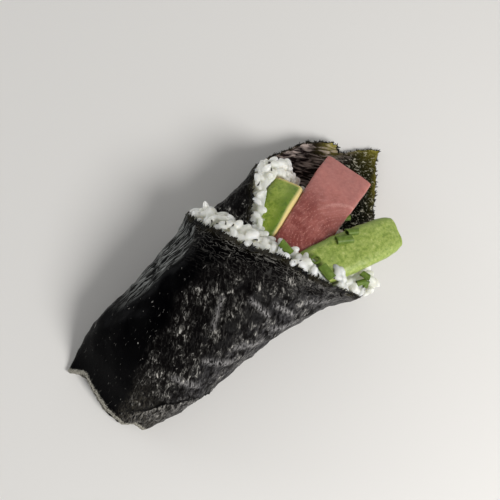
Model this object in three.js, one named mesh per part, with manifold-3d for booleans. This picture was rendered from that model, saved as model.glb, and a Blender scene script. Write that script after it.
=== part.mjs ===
// Seaweed hand roll lying on its side: one sheet of toasted seaweed wound round rice,
// with a slice of raw tuna and two slices of avocado showing at the open mouth.
// Millimetres. +X runs from the pinched tail to the open mouth, +Z is up, Z 0 is the floor.
import * as THREE from 'three';
import Module from 'manifold-3d';

const wasm = await Module();
wasm.setup();

// Sheet of seaweed: thickness, gap to what it touches, how far the round section would sink
// below the floor, height of its widest place, and the winding angles where it starts and ends
const SHEET = 0.45;
const GAP = 0.35;
const SINK = 0.9;
const WIDEST = 0.45;
const WIND_FROM = 95;
const WIND_TO = -472;

// How finely the sheet and the rooms cut for it follow the winding, in degrees and steps
const COARSE_TURN = 11;
const FINE_TURN = 6;
const SHEET_STEPS = 14;
const ROOM_TURN = 12;
const ROOM_STEPS = 10;

// Rooms cut out of the rice: clear space round a filling and round the inner turn, angles of the
// inner turn's room and the outer edge's, length of the outer edge's room
const FILLING_ROOM = 0.5;
const INNER_TURN_ROOM = 0.55;
const INNER_ROOM_END = -205;
const OUTER_ROOM_FROM = -168;
const OUTER_ROOM_LENGTH = 12;
const FLOOR_ROOM_FROM = -75;
const FLOOR_ROOM_STATION = 28;

// The wound sheet's cross-section along the roll:
// station x, left side y, right side y, height, roundness (1 is an ellipse, more is pointed)
const STATIONS = [
  [-76, 21.6, -15.5, 3.2, 1.25],
  [-71, 23.0, -17.2, 5.2, 1.2],
  [-65, 25.0, -18.6, 11.5, 1.12],
  [-57, 27.0, -21.2, 21.5, 1.0],
  [-48, 28.4, -23.6, 30.0, 0.93],
  [-32, 29.2, -25.4, 37.5, 0.9],
  [-14, 31.0, -26.4, 42.0, 0.9],
  [0, 32.0, -27.4, 44.2, 0.9],
  [9, 35.4, -28.4, 45.0, 0.9],
  [25, 35.6, -31.6, 45.5, 0.9],
  [37, 36.6, -37.6, 45.5, 0.9],
  [52, 39.0, -40.5, 45.5, 0.9],
  [94, 43.5, -44.0, 45.5, 0.9],
];

// Front edge of the sheet: winding angle in degrees, station x.
// Angle 0 is the inner turn's left wall, -90 the floor, -180 the right side, -270 the top.
const FRONT_EDGE = [
  [-480, 7], [-430, 7], [-360, 7.4], [-349, 7.8], [-331, 6.8], [-313, 7.4], [-296, 10.0],
  [-284, 12.2], [-275, 14.5], [-268, 17.2], [-262, 20.0], [-254, 22.2], [-244, 24.2],
  [-236, 25.2], [-227, 27.2], [-218, 29.6], [-205, 33.2], [-182, 36.8], [-165, 41.0],
  [-136, 49.5], [-111, 68.0], [-100, 77.0], [-91, 84.8], [-86, 91.0], [-82, 88.2],
  [-78, 85.2], [-73, 78.6], [-70, 76.8], [-66, 78.4], [-61, 77.8], [-56, 74.0],
  [-50, 71.2], [-44, 68.5], [-36, 61.0], [-28, 56.0], [-20, 52.5], [-14, 48.4],
  [0, 43.4], [20, 38.8], [52, 30.0], [70, 22.2], [100, 15],
];

// Closed edge of the tail: y, station x
const TAIL_EDGE = [
  [-30, -63.5], [-18.8, -65.2], [-13.2, -67.1], [-10.7, -71.1], [-1.3, -72.2], [8, -70.8],
  [14.6, -69.2], [18, -70.4], [22.3, -73.6], [30, -74],
];
const INNER_START = -12;

// How far the inner turn lies inside the outer one: winding angle, inset
const INSET = [
  [-480, 0], [-175, 0], [-125, 0.62], [-88, 0.75], [-60, 2.6], [-25, 5.4], [0, 6.1], [100, 6.1],
];

// Rice
const RICE_TAIL = -58;
const GRAIN_LENGTH = 6.0;
const GRAIN_RADIUS = 1.5;
const GRAIN_SPACING = 4.3;
const GRAIN_LIMIT = 90;
const GRAIN_SIDES = 5;
const SMALLEST_EDGE = 0.12;

// Front of the rice inside the outer turn: winding angle, station x
const RICE_FRONT = [
  [-472, 38], [-440, 34], [-400, 20], [-375, 11.0], [-350, 12.2], [-336, 15.4], [-322, 17.4],
  [-300, 19.2], [-270, 23.2], [-249, 28.2], [-228, 31.8], [-208, 36.4], [-183, 41.0],
  [-165, 42], [-150, 41], [-112, 38],
];

// How far the rice stays inside the outer turn's outer face: winding angle, inset
const PLUG_INSET = [
  [-400, 1.6], [-205, 1.6], [-150, 1.8], [-125, 2.0], [-88, 2.2], [-76, 3.3], [-64, 4.1],
  [-50, 1.6], [0, 1.6],
];

// Small tools for shapes
const radians = THREE.MathUtils.degToRad;

// Smooth reading of a table at t, with slopes taken from its neighbours
function readSmooth(rows, t, column) {
  const last = rows.length - 1;
  if (t <= rows[0][0]) {
    return rows[0][column];
  }
  if (t >= rows[last][0]) {
    return rows[last][column];
  }
  let i = 0;
  while (rows[i + 1][0] < t) {
    i += 1;
  }
  const slope = (k) => {
    const a = Math.max(k - 1, 0);
    const b = Math.min(k + 1, last);
    return (rows[b][column] - rows[a][column]) / (rows[b][0] - rows[a][0]);
  };
  const span = rows[i + 1][0] - rows[i][0];
  const u = (t - rows[i][0]) / span;
  const v = u * u * (3 - 2 * u);
  const rise = slope(i) * span * (u * u * u - 2 * u * u + u);
  const fall = slope(i + 1) * span * (u * u * u - u * u);
  return rows[i][column] * (1 - v) + rows[i + 1][column] * v + rise + fall;
}

// Straight reading of a table at t
function readStraight(rows, t, column) {
  const last = rows.length - 1;
  if (t <= rows[0][0]) {
    return rows[0][column];
  }
  for (let i = 0; i < last; i += 1) {
    if (t <= rows[i + 1][0]) {
      const u = (t - rows[i][0]) / (rows[i + 1][0] - rows[i][0]);
      return rows[i][column] * (1 - u) + rows[i + 1][column] * u;
    }
  }
  return rows[last][column];
}

// Seeded random numbers from 0 to 1
function randomSource(seed) {
  let state = seed;
  return () => {
    state = (state * 1664525 + 1013904223) % 4294967296;
    return state / 4294967296;
  };
}

// Wavy hand-pressed surface of the wrap and the flattened facet along its left shoulder
function waviness(degrees, x) {
  const a = radians(degrees);
  const body = THREE.MathUtils.smoothstep(x, -70, -45);
  const soft = 0.45 * Math.sin(2 * a + x * 0.07) + 0.32 * Math.sin(5 * a - x * 0.13 + 1.1);
  const fine = 0.2 * Math.sin(9 * a + x * 0.31) + 0.14 * Math.sin(13 * a - x * 0.45 + 2);
  const wrapped = THREE.MathUtils.euclideanModulo(degrees, 360);
  const facet = Math.exp(-(((wrapped - 36) / 15) ** 2)) * THREE.MathUtils.smoothstep(x, -50, -5);
  return body * (soft + fine) - 2.2 * facet * THREE.MathUtils.smoothstep(-x, -22, -8);
}

// A point on the wound surface, a given distance inside the outermost turn
function wrapPoint(degrees, x, inset) {
  const left = readSmooth(STATIONS, x, 1);
  const right = readSmooth(STATIONS, x, 2);
  const height = readSmooth(STATIONS, x, 3);
  const power = readSmooth(STATIONS, x, 4);
  const c = Math.cos(radians(degrees));
  const s = Math.sin(radians(degrees));
  const wave = waviness(degrees, x) - inset;
  const middle = (left + right) / 2;
  const centre = height * WIDEST;
  const across = (left - right) / 2 + wave;
  const upright = (s > 0 ? height - centre : centre + SINK) + wave;
  const y = middle + across * Math.sign(c) * Math.abs(c) ** power;
  const z = centre + upright * Math.sign(s) * Math.abs(s) ** power;
  return [x, y, Math.max(z, Math.max(inset, 0))];
}

// A closed solid from a flat list of points and triangles
function solidFrom(points, triangles) {
  const mesh = new wasm.Mesh({
    numProp: 3,
    vertProperties: new Float32Array(points.flat()),
    triVerts: new Uint32Array(triangles),
  });
  mesh.merge();
  return new wasm.Manifold(mesh);
}

// A closed solid through rings of points, each end closed by a fan to its own centre point
function loft(rings, startPoint, endPoint) {
  const count = rings[0].length;
  const points = rings.flat();
  const triangles = [];
  for (let j = 0; j + 1 < rings.length; j += 1) {
    for (let i = 0; i < count; i += 1) {
      const a = j * count + i;
      const b = j * count + ((i + 1) % count);
      triangles.push(a, b, a + count, b, b + count, a + count);
    }
  }
  const start = points.length;
  points.push(startPoint, endPoint);
  const top = (rings.length - 1) * count;
  for (let i = 0; i < count; i += 1) {
    const next = (i + 1) % count;
    triangles.push(start, next, i);
    triangles.push(start + 1, top + i, top + next);
  }
  const solid = solidFrom(points, triangles);
  if (solid.volume() > 0) {
    return solid;
  }
  const turned = [];
  for (let k = 0; k < triangles.length; k += 3) {
    turned.push(triangles[k], triangles[k + 2], triangles[k + 1]);
  }
  return solidFrom(points, turned);
}

// Sheet of toasted seaweed, wound about one and a half turns round the rice.
// grow makes it thicker and larger by that much, for cutting its room out of the rice.
function windingAngles(from, to, coarse, fine) {
  const angles = [];
  let angle = from;
  while (angle > to) {
    angles.push(angle);
    angle -= angle <= -22 && angle > -130 ? fine : coarse;
  }
  angles.push(to);
  return angles;
}

function frontEdge(degrees) {
  return readStraight(FRONT_EDGE, degrees, 1);
}

// The room for the inner turn is only cut where there is rice on both sides of it
function roomStart(degrees) {
  return degrees < FLOOR_ROOM_FROM ? FLOOR_ROOM_STATION : sheetStart(degrees);
}

function sheetStart(degrees) {
  const tail = readStraight(TAIL_EDGE, wrapPoint(degrees, -70, 0)[1], 1);
  const joined = THREE.MathUtils.smoothstep(-degrees, 55, 110);
  return INNER_START + (tail - INNER_START) * joined;
}

function seaweedSheet(grow, angles, steps, startAt) {
  const points = [];
  const width = steps + 1;
  for (const face of [0, 1]) {
    for (const degrees of angles) {
      const inset = readStraight(INSET, degrees, 1) + (face ? SHEET + grow : -grow);
      const from = startAt(degrees) - grow;
      const to = frontEdge(degrees) + grow;
      for (let j = 0; j <= steps; j += 1) {
        const t = j / steps;
        const x = from + (to - from) * (0.8 * t + 0.2 * t * t);
        points.push(wrapPoint(degrees, x, inset));
      }
    }
  }
  const triangles = [];
  const inner = angles.length * width;
  for (let i = 0; i + 1 < angles.length; i += 1) {
    for (let j = 0; j < steps; j += 1) {
      const a = i * width + j;
      const b = a + width;
      triangles.push(a, a + 1, b, a + 1, b + 1, b);
      triangles.push(inner + a, inner + b, inner + a + 1);
      triangles.push(inner + a + 1, inner + b, inner + b + 1);
    }
  }
  const rim = [];
  const endRow = (angles.length - 1) * width;
  for (let j = 0; j < steps; j += 1) {
    rim.push([j, j + 1], [endRow + j + 1, endRow + j]);
  }
  for (let i = 0; i + 1 < angles.length; i += 1) {
    const a = i * width;
    rim.push([a + width, a], [a + steps, a + steps + width]);
  }
  for (const [a, b] of rim) {
    triangles.push(b, a, inner + a, b, inner + a, inner + b);
  }
  const solid = solidFrom(points, triangles);
  if (solid.volume() > 0) {
    return solid;
  }
  const turned = [];
  for (let k = 0; k < triangles.length; k += 3) {
    turned.push(triangles[k], triangles[k + 2], triangles[k + 1]);
  }
  return solidFrom(points, turned);
}

// Fillings. Each is a bar that follows a path; a path row is
// x, y, z of the bar's middle, its width, its thickness, its tilt and the lean of its cross-section
const TUNA_PATH = [
  [4, -13.0, 30.6, 17.0, 8.6, 6],
  [16, -10.2, 31.6, 19.0, 9.2, 6],
  [30.3, -6.2, 29.4, 19.6, 9.2, 5],
  [46.4, -2.0, 25.2, 20.6, 9.0, 3],
  [57.0, 0.8, 20.0, 21.6, 8.8, 2],
  [65.5, 3.0, 14.2, 22.2, 8.4, 0],
  [71.4, 4.4, 9.6, 22.4, 8.0, 0],
];
const BACK_AVOCADO_PATH = [
  [6, 2.0, 28.5, 5.0, 12.0, -8],
  [16, 3.6, 28.8, 6.8, 13.0, -8],
  [28, 7.8, 27.8, 9.6, 13.6, -10],
  [38, 12.4, 25.4, 12.4, 13.6, -12],
  [46.2, 15.0, 21.6, 12.8, 12.6, -14],
];
const FRONT_AVOCADO_PATH = [
  [4, -9.5, 36.0, 10.0, 5.2, 4],
  [16, -13.0, 35.0, 14.0, 7.0, 2],
  [28, -16.6, 33.2, 16.4, 8.0, 0],
  [42, -20.8, 30.2, 17.2, 8.2, -2],
  [54, -24.4, 26.6, 17.0, 8.0, -3],
  [63, -27.0, 23.4, 15.6, 7.4, -3],
  [67.6, -28.6, 21.6, 11.6, 6.2, -3],
];

// A point of a bar's section: u runs along the path, angle goes round, corner squares it off
function barRing(path, t, sides, corner, grow) {
  const rows = path.map((row, k) => [k, ...row]);
  const at = (u, column) => readSmooth(rows, u, column);
  const here = new THREE.Vector3(at(t, 1), at(t, 2), at(t, 3));
  const ahead = new THREE.Vector3(at(t + 0.15, 1), at(t + 0.15, 2), at(t + 0.15, 3));
  const behind = new THREE.Vector3(at(t - 0.15, 1), at(t - 0.15, 2), at(t - 0.15, 3));
  const along = ahead.sub(behind).normalize();
  const tilt = new THREE.Quaternion().setFromAxisAngle(along, radians(at(t, 6)));
  const across = new THREE.Vector3(0, 0, 1).cross(along).normalize();
  const up = along.clone().cross(across).normalize();
  across.applyQuaternion(tilt);
  up.applyQuaternion(tilt);
  const ring = [];
  for (let i = 0; i < sides; i += 1) {
    const a = radians(22.5) + (i / sides) * Math.PI * 2;
    const c = Math.cos(a);
    const s = Math.sin(a);
    const w = (at(t, 4) / 2 + grow) * Math.sign(c) * Math.abs(c) ** corner;
    const h = (at(t, 5) / 2 + grow) * Math.sign(s) * Math.abs(s) ** corner;
    const p = here.clone().addScaledVector(across, w).addScaledVector(up, h);
    ring.push(p.toArray());
  }
  return { ring, here, along };
}

function bar(path, corner, sides, steps, grow) {
  const rings = [];
  const last = path.length - 1;
  let first = null;
  let final = null;
  for (let j = 0; j <= steps; j += 1) {
    const made = barRing(path, (j / steps) * last, sides, corner, grow);
    const push = j === 0 ? -grow : j === steps ? grow : 0;
    const moved = made.ring.map((p) => [
      p[0] + made.along.x * push, p[1] + made.along.y * push, p[2] + made.along.z * push,
    ]);
    const middle = made.here.clone().addScaledVector(made.along, push).toArray();
    rings.push(moved);
    first = first ?? middle;
    final = middle;
  }
  return loft(rings, first, final);
}

const tuna = (steps, grow) => bar(TUNA_PATH, 0.4, 8, steps, grow);
const backAvocado = (steps, grow) => bar(BACK_AVOCADO_PATH, 0.55, 12, steps, grow);
const frontAvocado = (steps, grow) => bar(FRONT_AVOCADO_PATH, 0.75, 12, steps, grow);

// Rice. A plug fills the outer turn, low mounds line the mouth, and the showing grains
// are pressed into their surface
const PLUG_SIDES = 28;
const PLUG_STEPS = 9;
const PLUG_FIRST_ANGLE = -112;
const PLUG_SET_BACK = 3.5;
const PLUG_MIDDLE = 28;

// The plug's domed front: how far inside its rim, how far ahead of it
const PLUG_DOME = [[1.2, 1.6], [4.2, 3.4], [9, 2.4], [16, -4]];

function ricePlug() {
  const rings = [];
  const angles = [];
  for (let i = 0; i < PLUG_SIDES; i += 1) {
    angles.push(PLUG_FIRST_ANGLE - (i * 360) / PLUG_SIDES);
  }
  const insetAt = (degrees) => {
    const wrapped = degrees < -400 ? degrees + 360 : degrees;
    return readStraight(PLUG_INSET, wrapped, 1);
  };
  const frontAt = (degrees) => readSmooth(RICE_FRONT, degrees, 1) - PLUG_SET_BACK;
  for (let j = 0; j <= PLUG_STEPS; j += 1) {
    rings.push(angles.map((degrees) => {
      const x = RICE_TAIL + ((frontAt(degrees) - RICE_TAIL) * j) / PLUG_STEPS;
      const taper = j === 0 ? PLUG_SET_BACK : 0;
      return wrapPoint(degrees, x, insetAt(degrees) + taper);
    }));
  }
  const deepest = PLUG_DOME[PLUG_DOME.length - 1][0];
  for (const [shrink, ahead] of PLUG_DOME) {
    const level = (shrink / deepest) ** 2;
    rings.push(angles.map((degrees) => {
      const x = frontAt(degrees) * (1 - level) + PLUG_MIDDLE * level + ahead;
      return wrapPoint(degrees, x, insetAt(degrees) + shrink);
    }));
  }
  const tailPoint = [RICE_TAIL - 1, 1, wrapPoint(90, RICE_TAIL, 0)[2] * 0.45];
  return loft(rings, tailPoint, [22, -1, 20]);
}

// Mounds of rice at the mouth: centre x, y, z and radii
const MOUNDS = [
  [26, 13.5, 34.5, 5.5, 3.8, 5],
  [30, 17, 32, 5.5, 4.2, 5.5],
  [31, 19.8, 28.5, 9, 8, 8],
  [39, 23.2, 24, 9, 7.5, 7.5],
  [44.5, 23.5, 18.5, 8, 7.5, 8.5],
  [46, 20.5, 13, 6.5, 7, 8],
  [40, 2, 10, 14, 22, 9],
  [33, -24, 17, 11, 10, 12],
  [41.8, -33.8, 16.5, 5.6, 6.2, 7],
  [44, -19, 12, 10, 13, 11],
];

function mound([x, y, z, rx, ry, rz]) {
  const ball = new THREE.IcosahedronGeometry(1, 1);
  const position = ball.getAttribute('position');
  const points = [];
  for (let i = 0; i < position.count; i += 1) {
    points.push([
      x + position.getX(i) * rx, y + position.getY(i) * ry, z + position.getZ(i) * rz,
    ]);
  }
  return solidFrom(points, points.map((_, i) => i));
}

// Room inside the inner turn of the sheet, which the mounds stay in
const INNER_ROOM_STATIONS = [-5, 11.5, 28, 44.5, 61];
const INNER_ROOM_SIDES = 20;
const INNER_ROOM_HEIGHT = 20;
const INNER_ROOM_WALL = 1.3;
const OPEN_SIDE_ANGLE = -135;
const OPEN_SIDE_STATION = 30;
const OPEN_SIDE_REACH = 9;

function innerRoom() {
  const rings = [];
  for (const x of INNER_ROOM_STATIONS) {
    const ring = [];
    for (let i = 0; i < INNER_ROOM_SIDES; i += 1) {
      const degrees = 170 - (i * 360) / INNER_ROOM_SIDES;
      const fade = THREE.MathUtils.smoothstep(degrees, WIND_FROM, 140);
      const start = readStraight(INSET, Math.min(degrees, WIND_FROM), 1) * (1 - fade);
      const open = degrees < OPEN_SIDE_ANGLE && x > OPEN_SIDE_STATION ? OPEN_SIDE_REACH : 0;
      ring.push(wrapPoint(degrees, x, start + INNER_ROOM_WALL - open));
    }
    rings.push(ring);
  }
  const first = INNER_ROOM_STATIONS[0];
  const last = INNER_ROOM_STATIONS[INNER_ROOM_STATIONS.length - 1];
  return loft(rings, [first, 0, INNER_ROOM_HEIGHT], [last, 0, INNER_ROOM_HEIGHT]);
}

// One grain: a five-sided barrel, bluntly pointed
function grain(centre, along, up, length, radius) {
  const side = new THREE.Vector3().crossVectors(up, along).normalize();
  const normal = new THREE.Vector3().crossVectors(along, side).normalize();
  const ring = (shift, size) => {
    const points = [];
    for (let i = 0; i < GRAIN_SIDES; i += 1) {
      const a = (i / GRAIN_SIDES) * Math.PI * 2;
      const p = centre.clone().addScaledVector(along, shift * length);
      p.addScaledVector(side, Math.cos(a) * size * radius * 1.08);
      p.addScaledVector(normal, Math.sin(a) * size * radius * 0.92);
      points.push(p.toArray());
    }
    return points;
  };
  const tip = (shift) => centre.clone().addScaledVector(along, shift * length).toArray();
  return loft([ring(-0.27, 0.94), ring(0.25, 1)], tip(-0.5), tip(0.5));
}

// Winding angle of a point, counted on the outer turn
function angleOf(p) {
  const left = readSmooth(STATIONS, p.x, 1);
  const right = readSmooth(STATIONS, p.x, 2);
  const height = readSmooth(STATIONS, p.x, 3);
  const dy = (p.y - (left + right) / 2) / ((left - right) / 2);
  const dz = (p.z - height * WIDEST) / (height * 0.5);
  const degrees = THREE.MathUtils.radToDeg(Math.atan2(dz, dy));
  return degrees > -112 ? degrees - 360 : degrees;
}

// Places for the showing grains: points on the core in front of the wrap, evenly apart
function grainPlaces(core, random) {
  const mesh = core.getMesh();
  const corner = (k) => new THREE.Vector3().fromArray(mesh.vertProperties, mesh.triVerts[k] * 3);
  const faces = [];
  let total = 0;
  for (let k = 0; k < mesh.triVerts.length; k += 3) {
    const triangle = new THREE.Triangle(corner(k), corner(k + 1), corner(k + 2));
    const area = triangle.getArea();
    if (area > 0.01) {
      total += area;
      faces.push({ triangle, total });
    }
  }
  const places = [];
  for (let tries = 0; tries < 9000 && places.length < GRAIN_LIMIT; tries += 1) {
    const pick = random() * total;
    const { triangle } = faces.find((face) => face.total >= pick);
    let u = random();
    let v = random();
    if (u + v > 1) {
      u = 1 - u;
      v = 1 - v;
    }
    const p = triangle.a.clone();
    p.addScaledVector(triangle.b.clone().sub(triangle.a), u);
    p.addScaledVector(triangle.c.clone().sub(triangle.a), v);
    const normal = triangle.getNormal(new THREE.Vector3());
    const outer = angleOf(p);
    const edge = readStraight(FRONT_EDGE, outer, 1);
    const lower = outer < -380 || outer > -180;
    const inMouth = lower ? p.x > 36 : p.x > edge + 0.3;
    const showing = inMouth && p.z > 3.5 && normal.z > -0.55;
    if (showing && places.every((other) => other.p.distanceTo(p) > GRAIN_SPACING)) {
      places.push({ p, normal });
    }
  }
  return places;
}

// Snipped chives, each fused to what it lies on:
// middle x, y, z, direction x, y, z, length, radius
const CHIVES_ON_RICE = [
  [26.3, -4.4, 40.4, -0.02, -1, -0.04, 6.2, 1.7],
  [32.2, -22.2, 38.4, -0.05, -1, -0.1, 6.6, 2.0],
  [42.2, -35.0, 25.6, 0.9, -0.44, -0.3, 6.0, 1.5],
  [46.3, -34.6, 22.2, 0.28, -0.95, -0.1, 4.6, 1.5],
];
const CHIVES_ON_FRONT_AVOCADO = [
  [47.0, -17.0, 33.9, 0.82, -0.57, -0.2, 6.6, 1.7],
  [52.0, -16.8, 32.0, 0.8, -0.5, -0.3, 5.0, 1.5],
  [32.2, -15.7, 37.2, 0.1, 0.1, 1, 2.2, 1.8],
];
const CHIVES_ON_TUNA = [
  [53.6, -8.6, 26.6, 0.8, 0.5, -0.3, 3.4, 1.4],
];
const CHIVE_SIDES = 8;

function chive([x, y, z, dx, dy, dz, length, radius], grow) {
  const round = radius + grow;
  const geometry = new THREE.CylinderGeometry(round, round, length + 2 * grow, CHIVE_SIDES);
  const along = new THREE.Vector3(dx, dy, dz).normalize();
  geometry.applyQuaternion(
    new THREE.Quaternion().setFromUnitVectors(new THREE.Vector3(0, 1, 0), along),
  );
  geometry.translate(x, y, z);
  const position = geometry.getAttribute('position');
  const points = [];
  for (let i = 0; i < position.count; i += 1) {
    points.push([position.getX(i), position.getY(i), position.getZ(i)]);
  }
  return solidFrom(points, [...geometry.getIndex().array]);
}

const withChives = (solid, rows, grow) => rows.reduce((all, row) => all.add(chive(row, grow)), solid);

// Largest connected piece of a solid, so that no loose scrap stays
function largestPiece(solid) {
  const pieces = solid.decompose();
  pieces.sort((a, b) => b.volume() - a.volume());
  return pieces[0];
}

function riceHeap(roomForSheet, fillings) {
  const room = innerRoom();
  let core = ricePlug();
  for (const row of MOUNDS) {
    core = core.add(mound(row).intersect(room));
  }
  for (const filling of fillings) {
    core = core.subtract(filling);
  }
  core = largestPiece(core.subtract(roomForSheet));
  const random = randomSource(20517);
  let heap = core;
  for (const { p, normal } of grainPlaces(core, random)) {
    const lean = new THREE.Vector3(random() - 0.5, random() - 0.5, random() - 0.5);
    const along = lean.clone().addScaledVector(normal, -0.75 * lean.dot(normal)).normalize();
    const length = GRAIN_LENGTH * (0.88 + 0.24 * random());
    const radius = GRAIN_RADIUS * (0.92 + 0.16 * random());
    const centre = p.clone().addScaledVector(normal, 0.25 + 0.5 * random());
    heap = heap.add(grain(centre, along, normal, length, radius));
  }
  heap = withChives(heap, CHIVES_ON_RICE, 0);
  for (const filling of fillings) {
    heap = heap.subtract(filling);
  }
  return largestPiece(heap.subtract(roomForSheet).simplify(SMALLEST_EDGE));
}

// Colours and finish of each piece, seen in soft light
const MATERIALS = {
  seaweed: { color: 0x1c1b1a, roughness: 0.45, metalness: 0 },
  rice: { color: 0xe6e6dc, roughness: 0.5, metalness: 0 },
  tuna: { color: 0xa85a54, roughness: 0.4, metalness: 0 },
  avocado: { color: 0x9bb455, roughness: 0.45, metalness: 0 },
};

function meshFrom(solid, name, material) {
  const mesh = solid.getMesh();
  const geometry = new THREE.BufferGeometry();
  geometry.setAttribute('position', new THREE.BufferAttribute(mesh.vertProperties, 3));
  geometry.setIndex(new THREE.BufferAttribute(mesh.triVerts, 1));
  const made = new THREE.Mesh(geometry, new THREE.MeshStandardMaterial(material));
  made.name = name;
  made.geometry.computeVertexNormals();
  return made;
}

const roll = new THREE.Group();
const tunaRoom = withChives(tuna(6, FILLING_ROOM), CHIVES_ON_TUNA, GAP);
const backRoom = backAvocado(4, FILLING_ROOM);
const frontRoom = withChives(frontAvocado(6, FILLING_ROOM), CHIVES_ON_FRONT_AVOCADO, GAP);
const sheetAngles = windingAngles(WIND_FROM, WIND_TO, COARSE_TURN, FINE_TURN);
const sheet = seaweedSheet(0, sheetAngles, SHEET_STEPS, sheetStart);
const innerAngles = windingAngles(WIND_FROM + 3, INNER_ROOM_END, ROOM_TURN, ROOM_TURN);
const innerSheetRoom = seaweedSheet(INNER_TURN_ROOM, innerAngles, ROOM_STEPS, roomStart);
const outerAngles = windingAngles(OUTER_ROOM_FROM, WIND_TO, COARSE_TURN, COARSE_TURN);
const outerRoomStart = (degrees) => frontEdge(degrees) - OUTER_ROOM_LENGTH;
const outerEdgeRoom = seaweedSheet(GAP, outerAngles, 2, outerRoomStart);
const sheetRoom = innerSheetRoom.add(outerEdgeRoom);
const tunaSolid = largestPiece(withChives(tuna(12, 0), CHIVES_ON_TUNA, 0).subtract(frontRoom));
const backSolid = largestPiece(backAvocado(8, 0).subtract(tunaRoom).subtract(frontRoom));
const frontSolid = withChives(frontAvocado(12, 0), CHIVES_ON_FRONT_AVOCADO, 0);
const rice = riceHeap(sheetRoom, [tunaRoom, backRoom, frontRoom]);
roll.add(meshFrom(sheet, 'seaweed_wrap', MATERIALS.seaweed));
roll.add(meshFrom(rice, 'rice', MATERIALS.rice));
roll.add(meshFrom(tunaSolid, 'tuna_slice', MATERIALS.tuna));
roll.add(meshFrom(backSolid, 'avocado_back', MATERIALS.avocado));
roll.add(meshFrom(frontSolid, 'avocado_front', MATERIALS.avocado));

// Bottom of the wrap at Z 0, middle of the whole roll over the origin
const MIDDLE = [8.8, -2.05, 0];
roll.position.set(-MIDDLE[0], -MIDDLE[1], -MIDDLE[2]);

export default roll;
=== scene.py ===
import math
import bmesh
import bpy
import numpy as np
from mathutils import Matrix, Vector, kdtree, noise
from mathutils.bvhtree import BVHTree


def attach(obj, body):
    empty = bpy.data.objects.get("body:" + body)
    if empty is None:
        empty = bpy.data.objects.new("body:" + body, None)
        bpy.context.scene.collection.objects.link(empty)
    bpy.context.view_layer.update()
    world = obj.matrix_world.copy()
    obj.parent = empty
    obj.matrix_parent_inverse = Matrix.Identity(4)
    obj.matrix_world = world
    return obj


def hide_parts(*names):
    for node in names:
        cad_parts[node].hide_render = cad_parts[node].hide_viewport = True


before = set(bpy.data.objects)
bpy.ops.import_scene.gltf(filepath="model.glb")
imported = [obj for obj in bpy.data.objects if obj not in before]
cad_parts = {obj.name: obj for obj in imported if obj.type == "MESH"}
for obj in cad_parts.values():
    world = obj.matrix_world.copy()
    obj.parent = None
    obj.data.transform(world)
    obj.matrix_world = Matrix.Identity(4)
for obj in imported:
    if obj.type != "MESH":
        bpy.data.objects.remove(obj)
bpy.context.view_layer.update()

# Camera.
# It looks down on the roll from almost straight above, turned so that the pinched tail
# lies at the lower left and the open mouth at the upper right.
LOOK_AT = (0.008545, 0.00886, 0.020)
CAMERA_DISTANCE = 0.4025
CAMERA_ELEVATION = math.radians(81.3)
CAMERA_TURN = math.radians(42)
SENSOR_WIDTH = 36
FOCAL_LENGTH = 69.55


def link_object(name, data):
    made = bpy.data.objects.new(name, data)
    bpy.context.collection.objects.link(made)
    return made


lens = bpy.data.cameras.new("camera")
lens.sensor_width = SENSOR_WIDTH
lens.lens = FOCAL_LENGTH
lens.clip_start = 0.01
camera = link_object("camera", lens)
level = math.cos(CAMERA_ELEVATION)
camera.location = (
    LOOK_AT[0] - CAMERA_DISTANCE * level * math.sin(CAMERA_TURN),
    LOOK_AT[1] - CAMERA_DISTANCE * level * math.cos(CAMERA_TURN),
    LOOK_AT[2] + CAMERA_DISTANCE * math.sin(CAMERA_ELEVATION),
)
camera.rotation_euler = (math.pi / 2 - CAMERA_ELEVATION, 0, -CAMERA_TURN)
bpy.context.scene.camera = camera

# Floor and light.
# A plain pale floor, one wide soft light from the right side of the roll, a weak one from
# its left and a pale surround that is dark overhead.
FLOOR_HALF = 1.6
FLOOR_COLOUR = (0.80, 0.79, 0.775, 1)


def wire(tree, kind, inputs=None, **settings):
    """Adds one node to a tree. An input is a value, or the socket that it is joined to."""
    made = tree.nodes.new(kind)
    for key, value in settings.items():
        setattr(made, key, value)
    for key, value in (inputs or {}).items():
        if isinstance(value, bpy.types.NodeSocket):
            tree.links.new(value, made.inputs[key])
        else:
            made.inputs[key].default_value = value
    return made


def new_material(name):
    material = bpy.data.materials.new(name)
    material.use_nodes = True
    material.node_tree.nodes.clear()
    return material, material.node_tree


def close_material(tree, **inputs):
    named = {key.replace("_", " "): value for key, value in inputs.items()}
    shader = wire(tree, "ShaderNodeBsdfPrincipled", named)
    wire(tree, "ShaderNodeOutputMaterial", {"Surface": shader.outputs["BSDF"]})
    return shader


floor_mesh = bpy.data.meshes.new("floor")
corners = [(-1, -1), (1, -1), (1, 1), (-1, 1)]
floor_mesh.from_pydata([(x * FLOOR_HALF, y * FLOOR_HALF, 0) for x, y in corners], [], [(0, 1, 2, 3)])
floor = link_object("floor", floor_mesh)
floor_material, tree = new_material("pale floor")
close_material(tree, Base_Color=FLOOR_COLOUR, Roughness=0.6)
floor_mesh.materials.append(floor_material)


def soft_light(name, towards, distance, size, power, colour):
    lamp = bpy.data.lights.new(name, "AREA")
    lamp.shape = "DISK"
    lamp.size = size
    lamp.energy = power
    lamp.color = colour
    made = link_object(name, lamp)
    direction = Vector(towards).normalized()
    made.location = direction * distance
    made.rotation_euler = direction.to_track_quat("Z", "Y").to_euler()


soft_light(
    "key", towards=(0.12, -0.78, 0.8), distance=0.9, size=0.42, power=6.6, colour=(1, 0.985, 0.96)
)
soft_light(
    "left fill", towards=(-0.35, 1.0, 0.2), distance=0.9, size=0.5, power=1.6, colour=(0.94, 0.97, 1)
)

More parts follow.
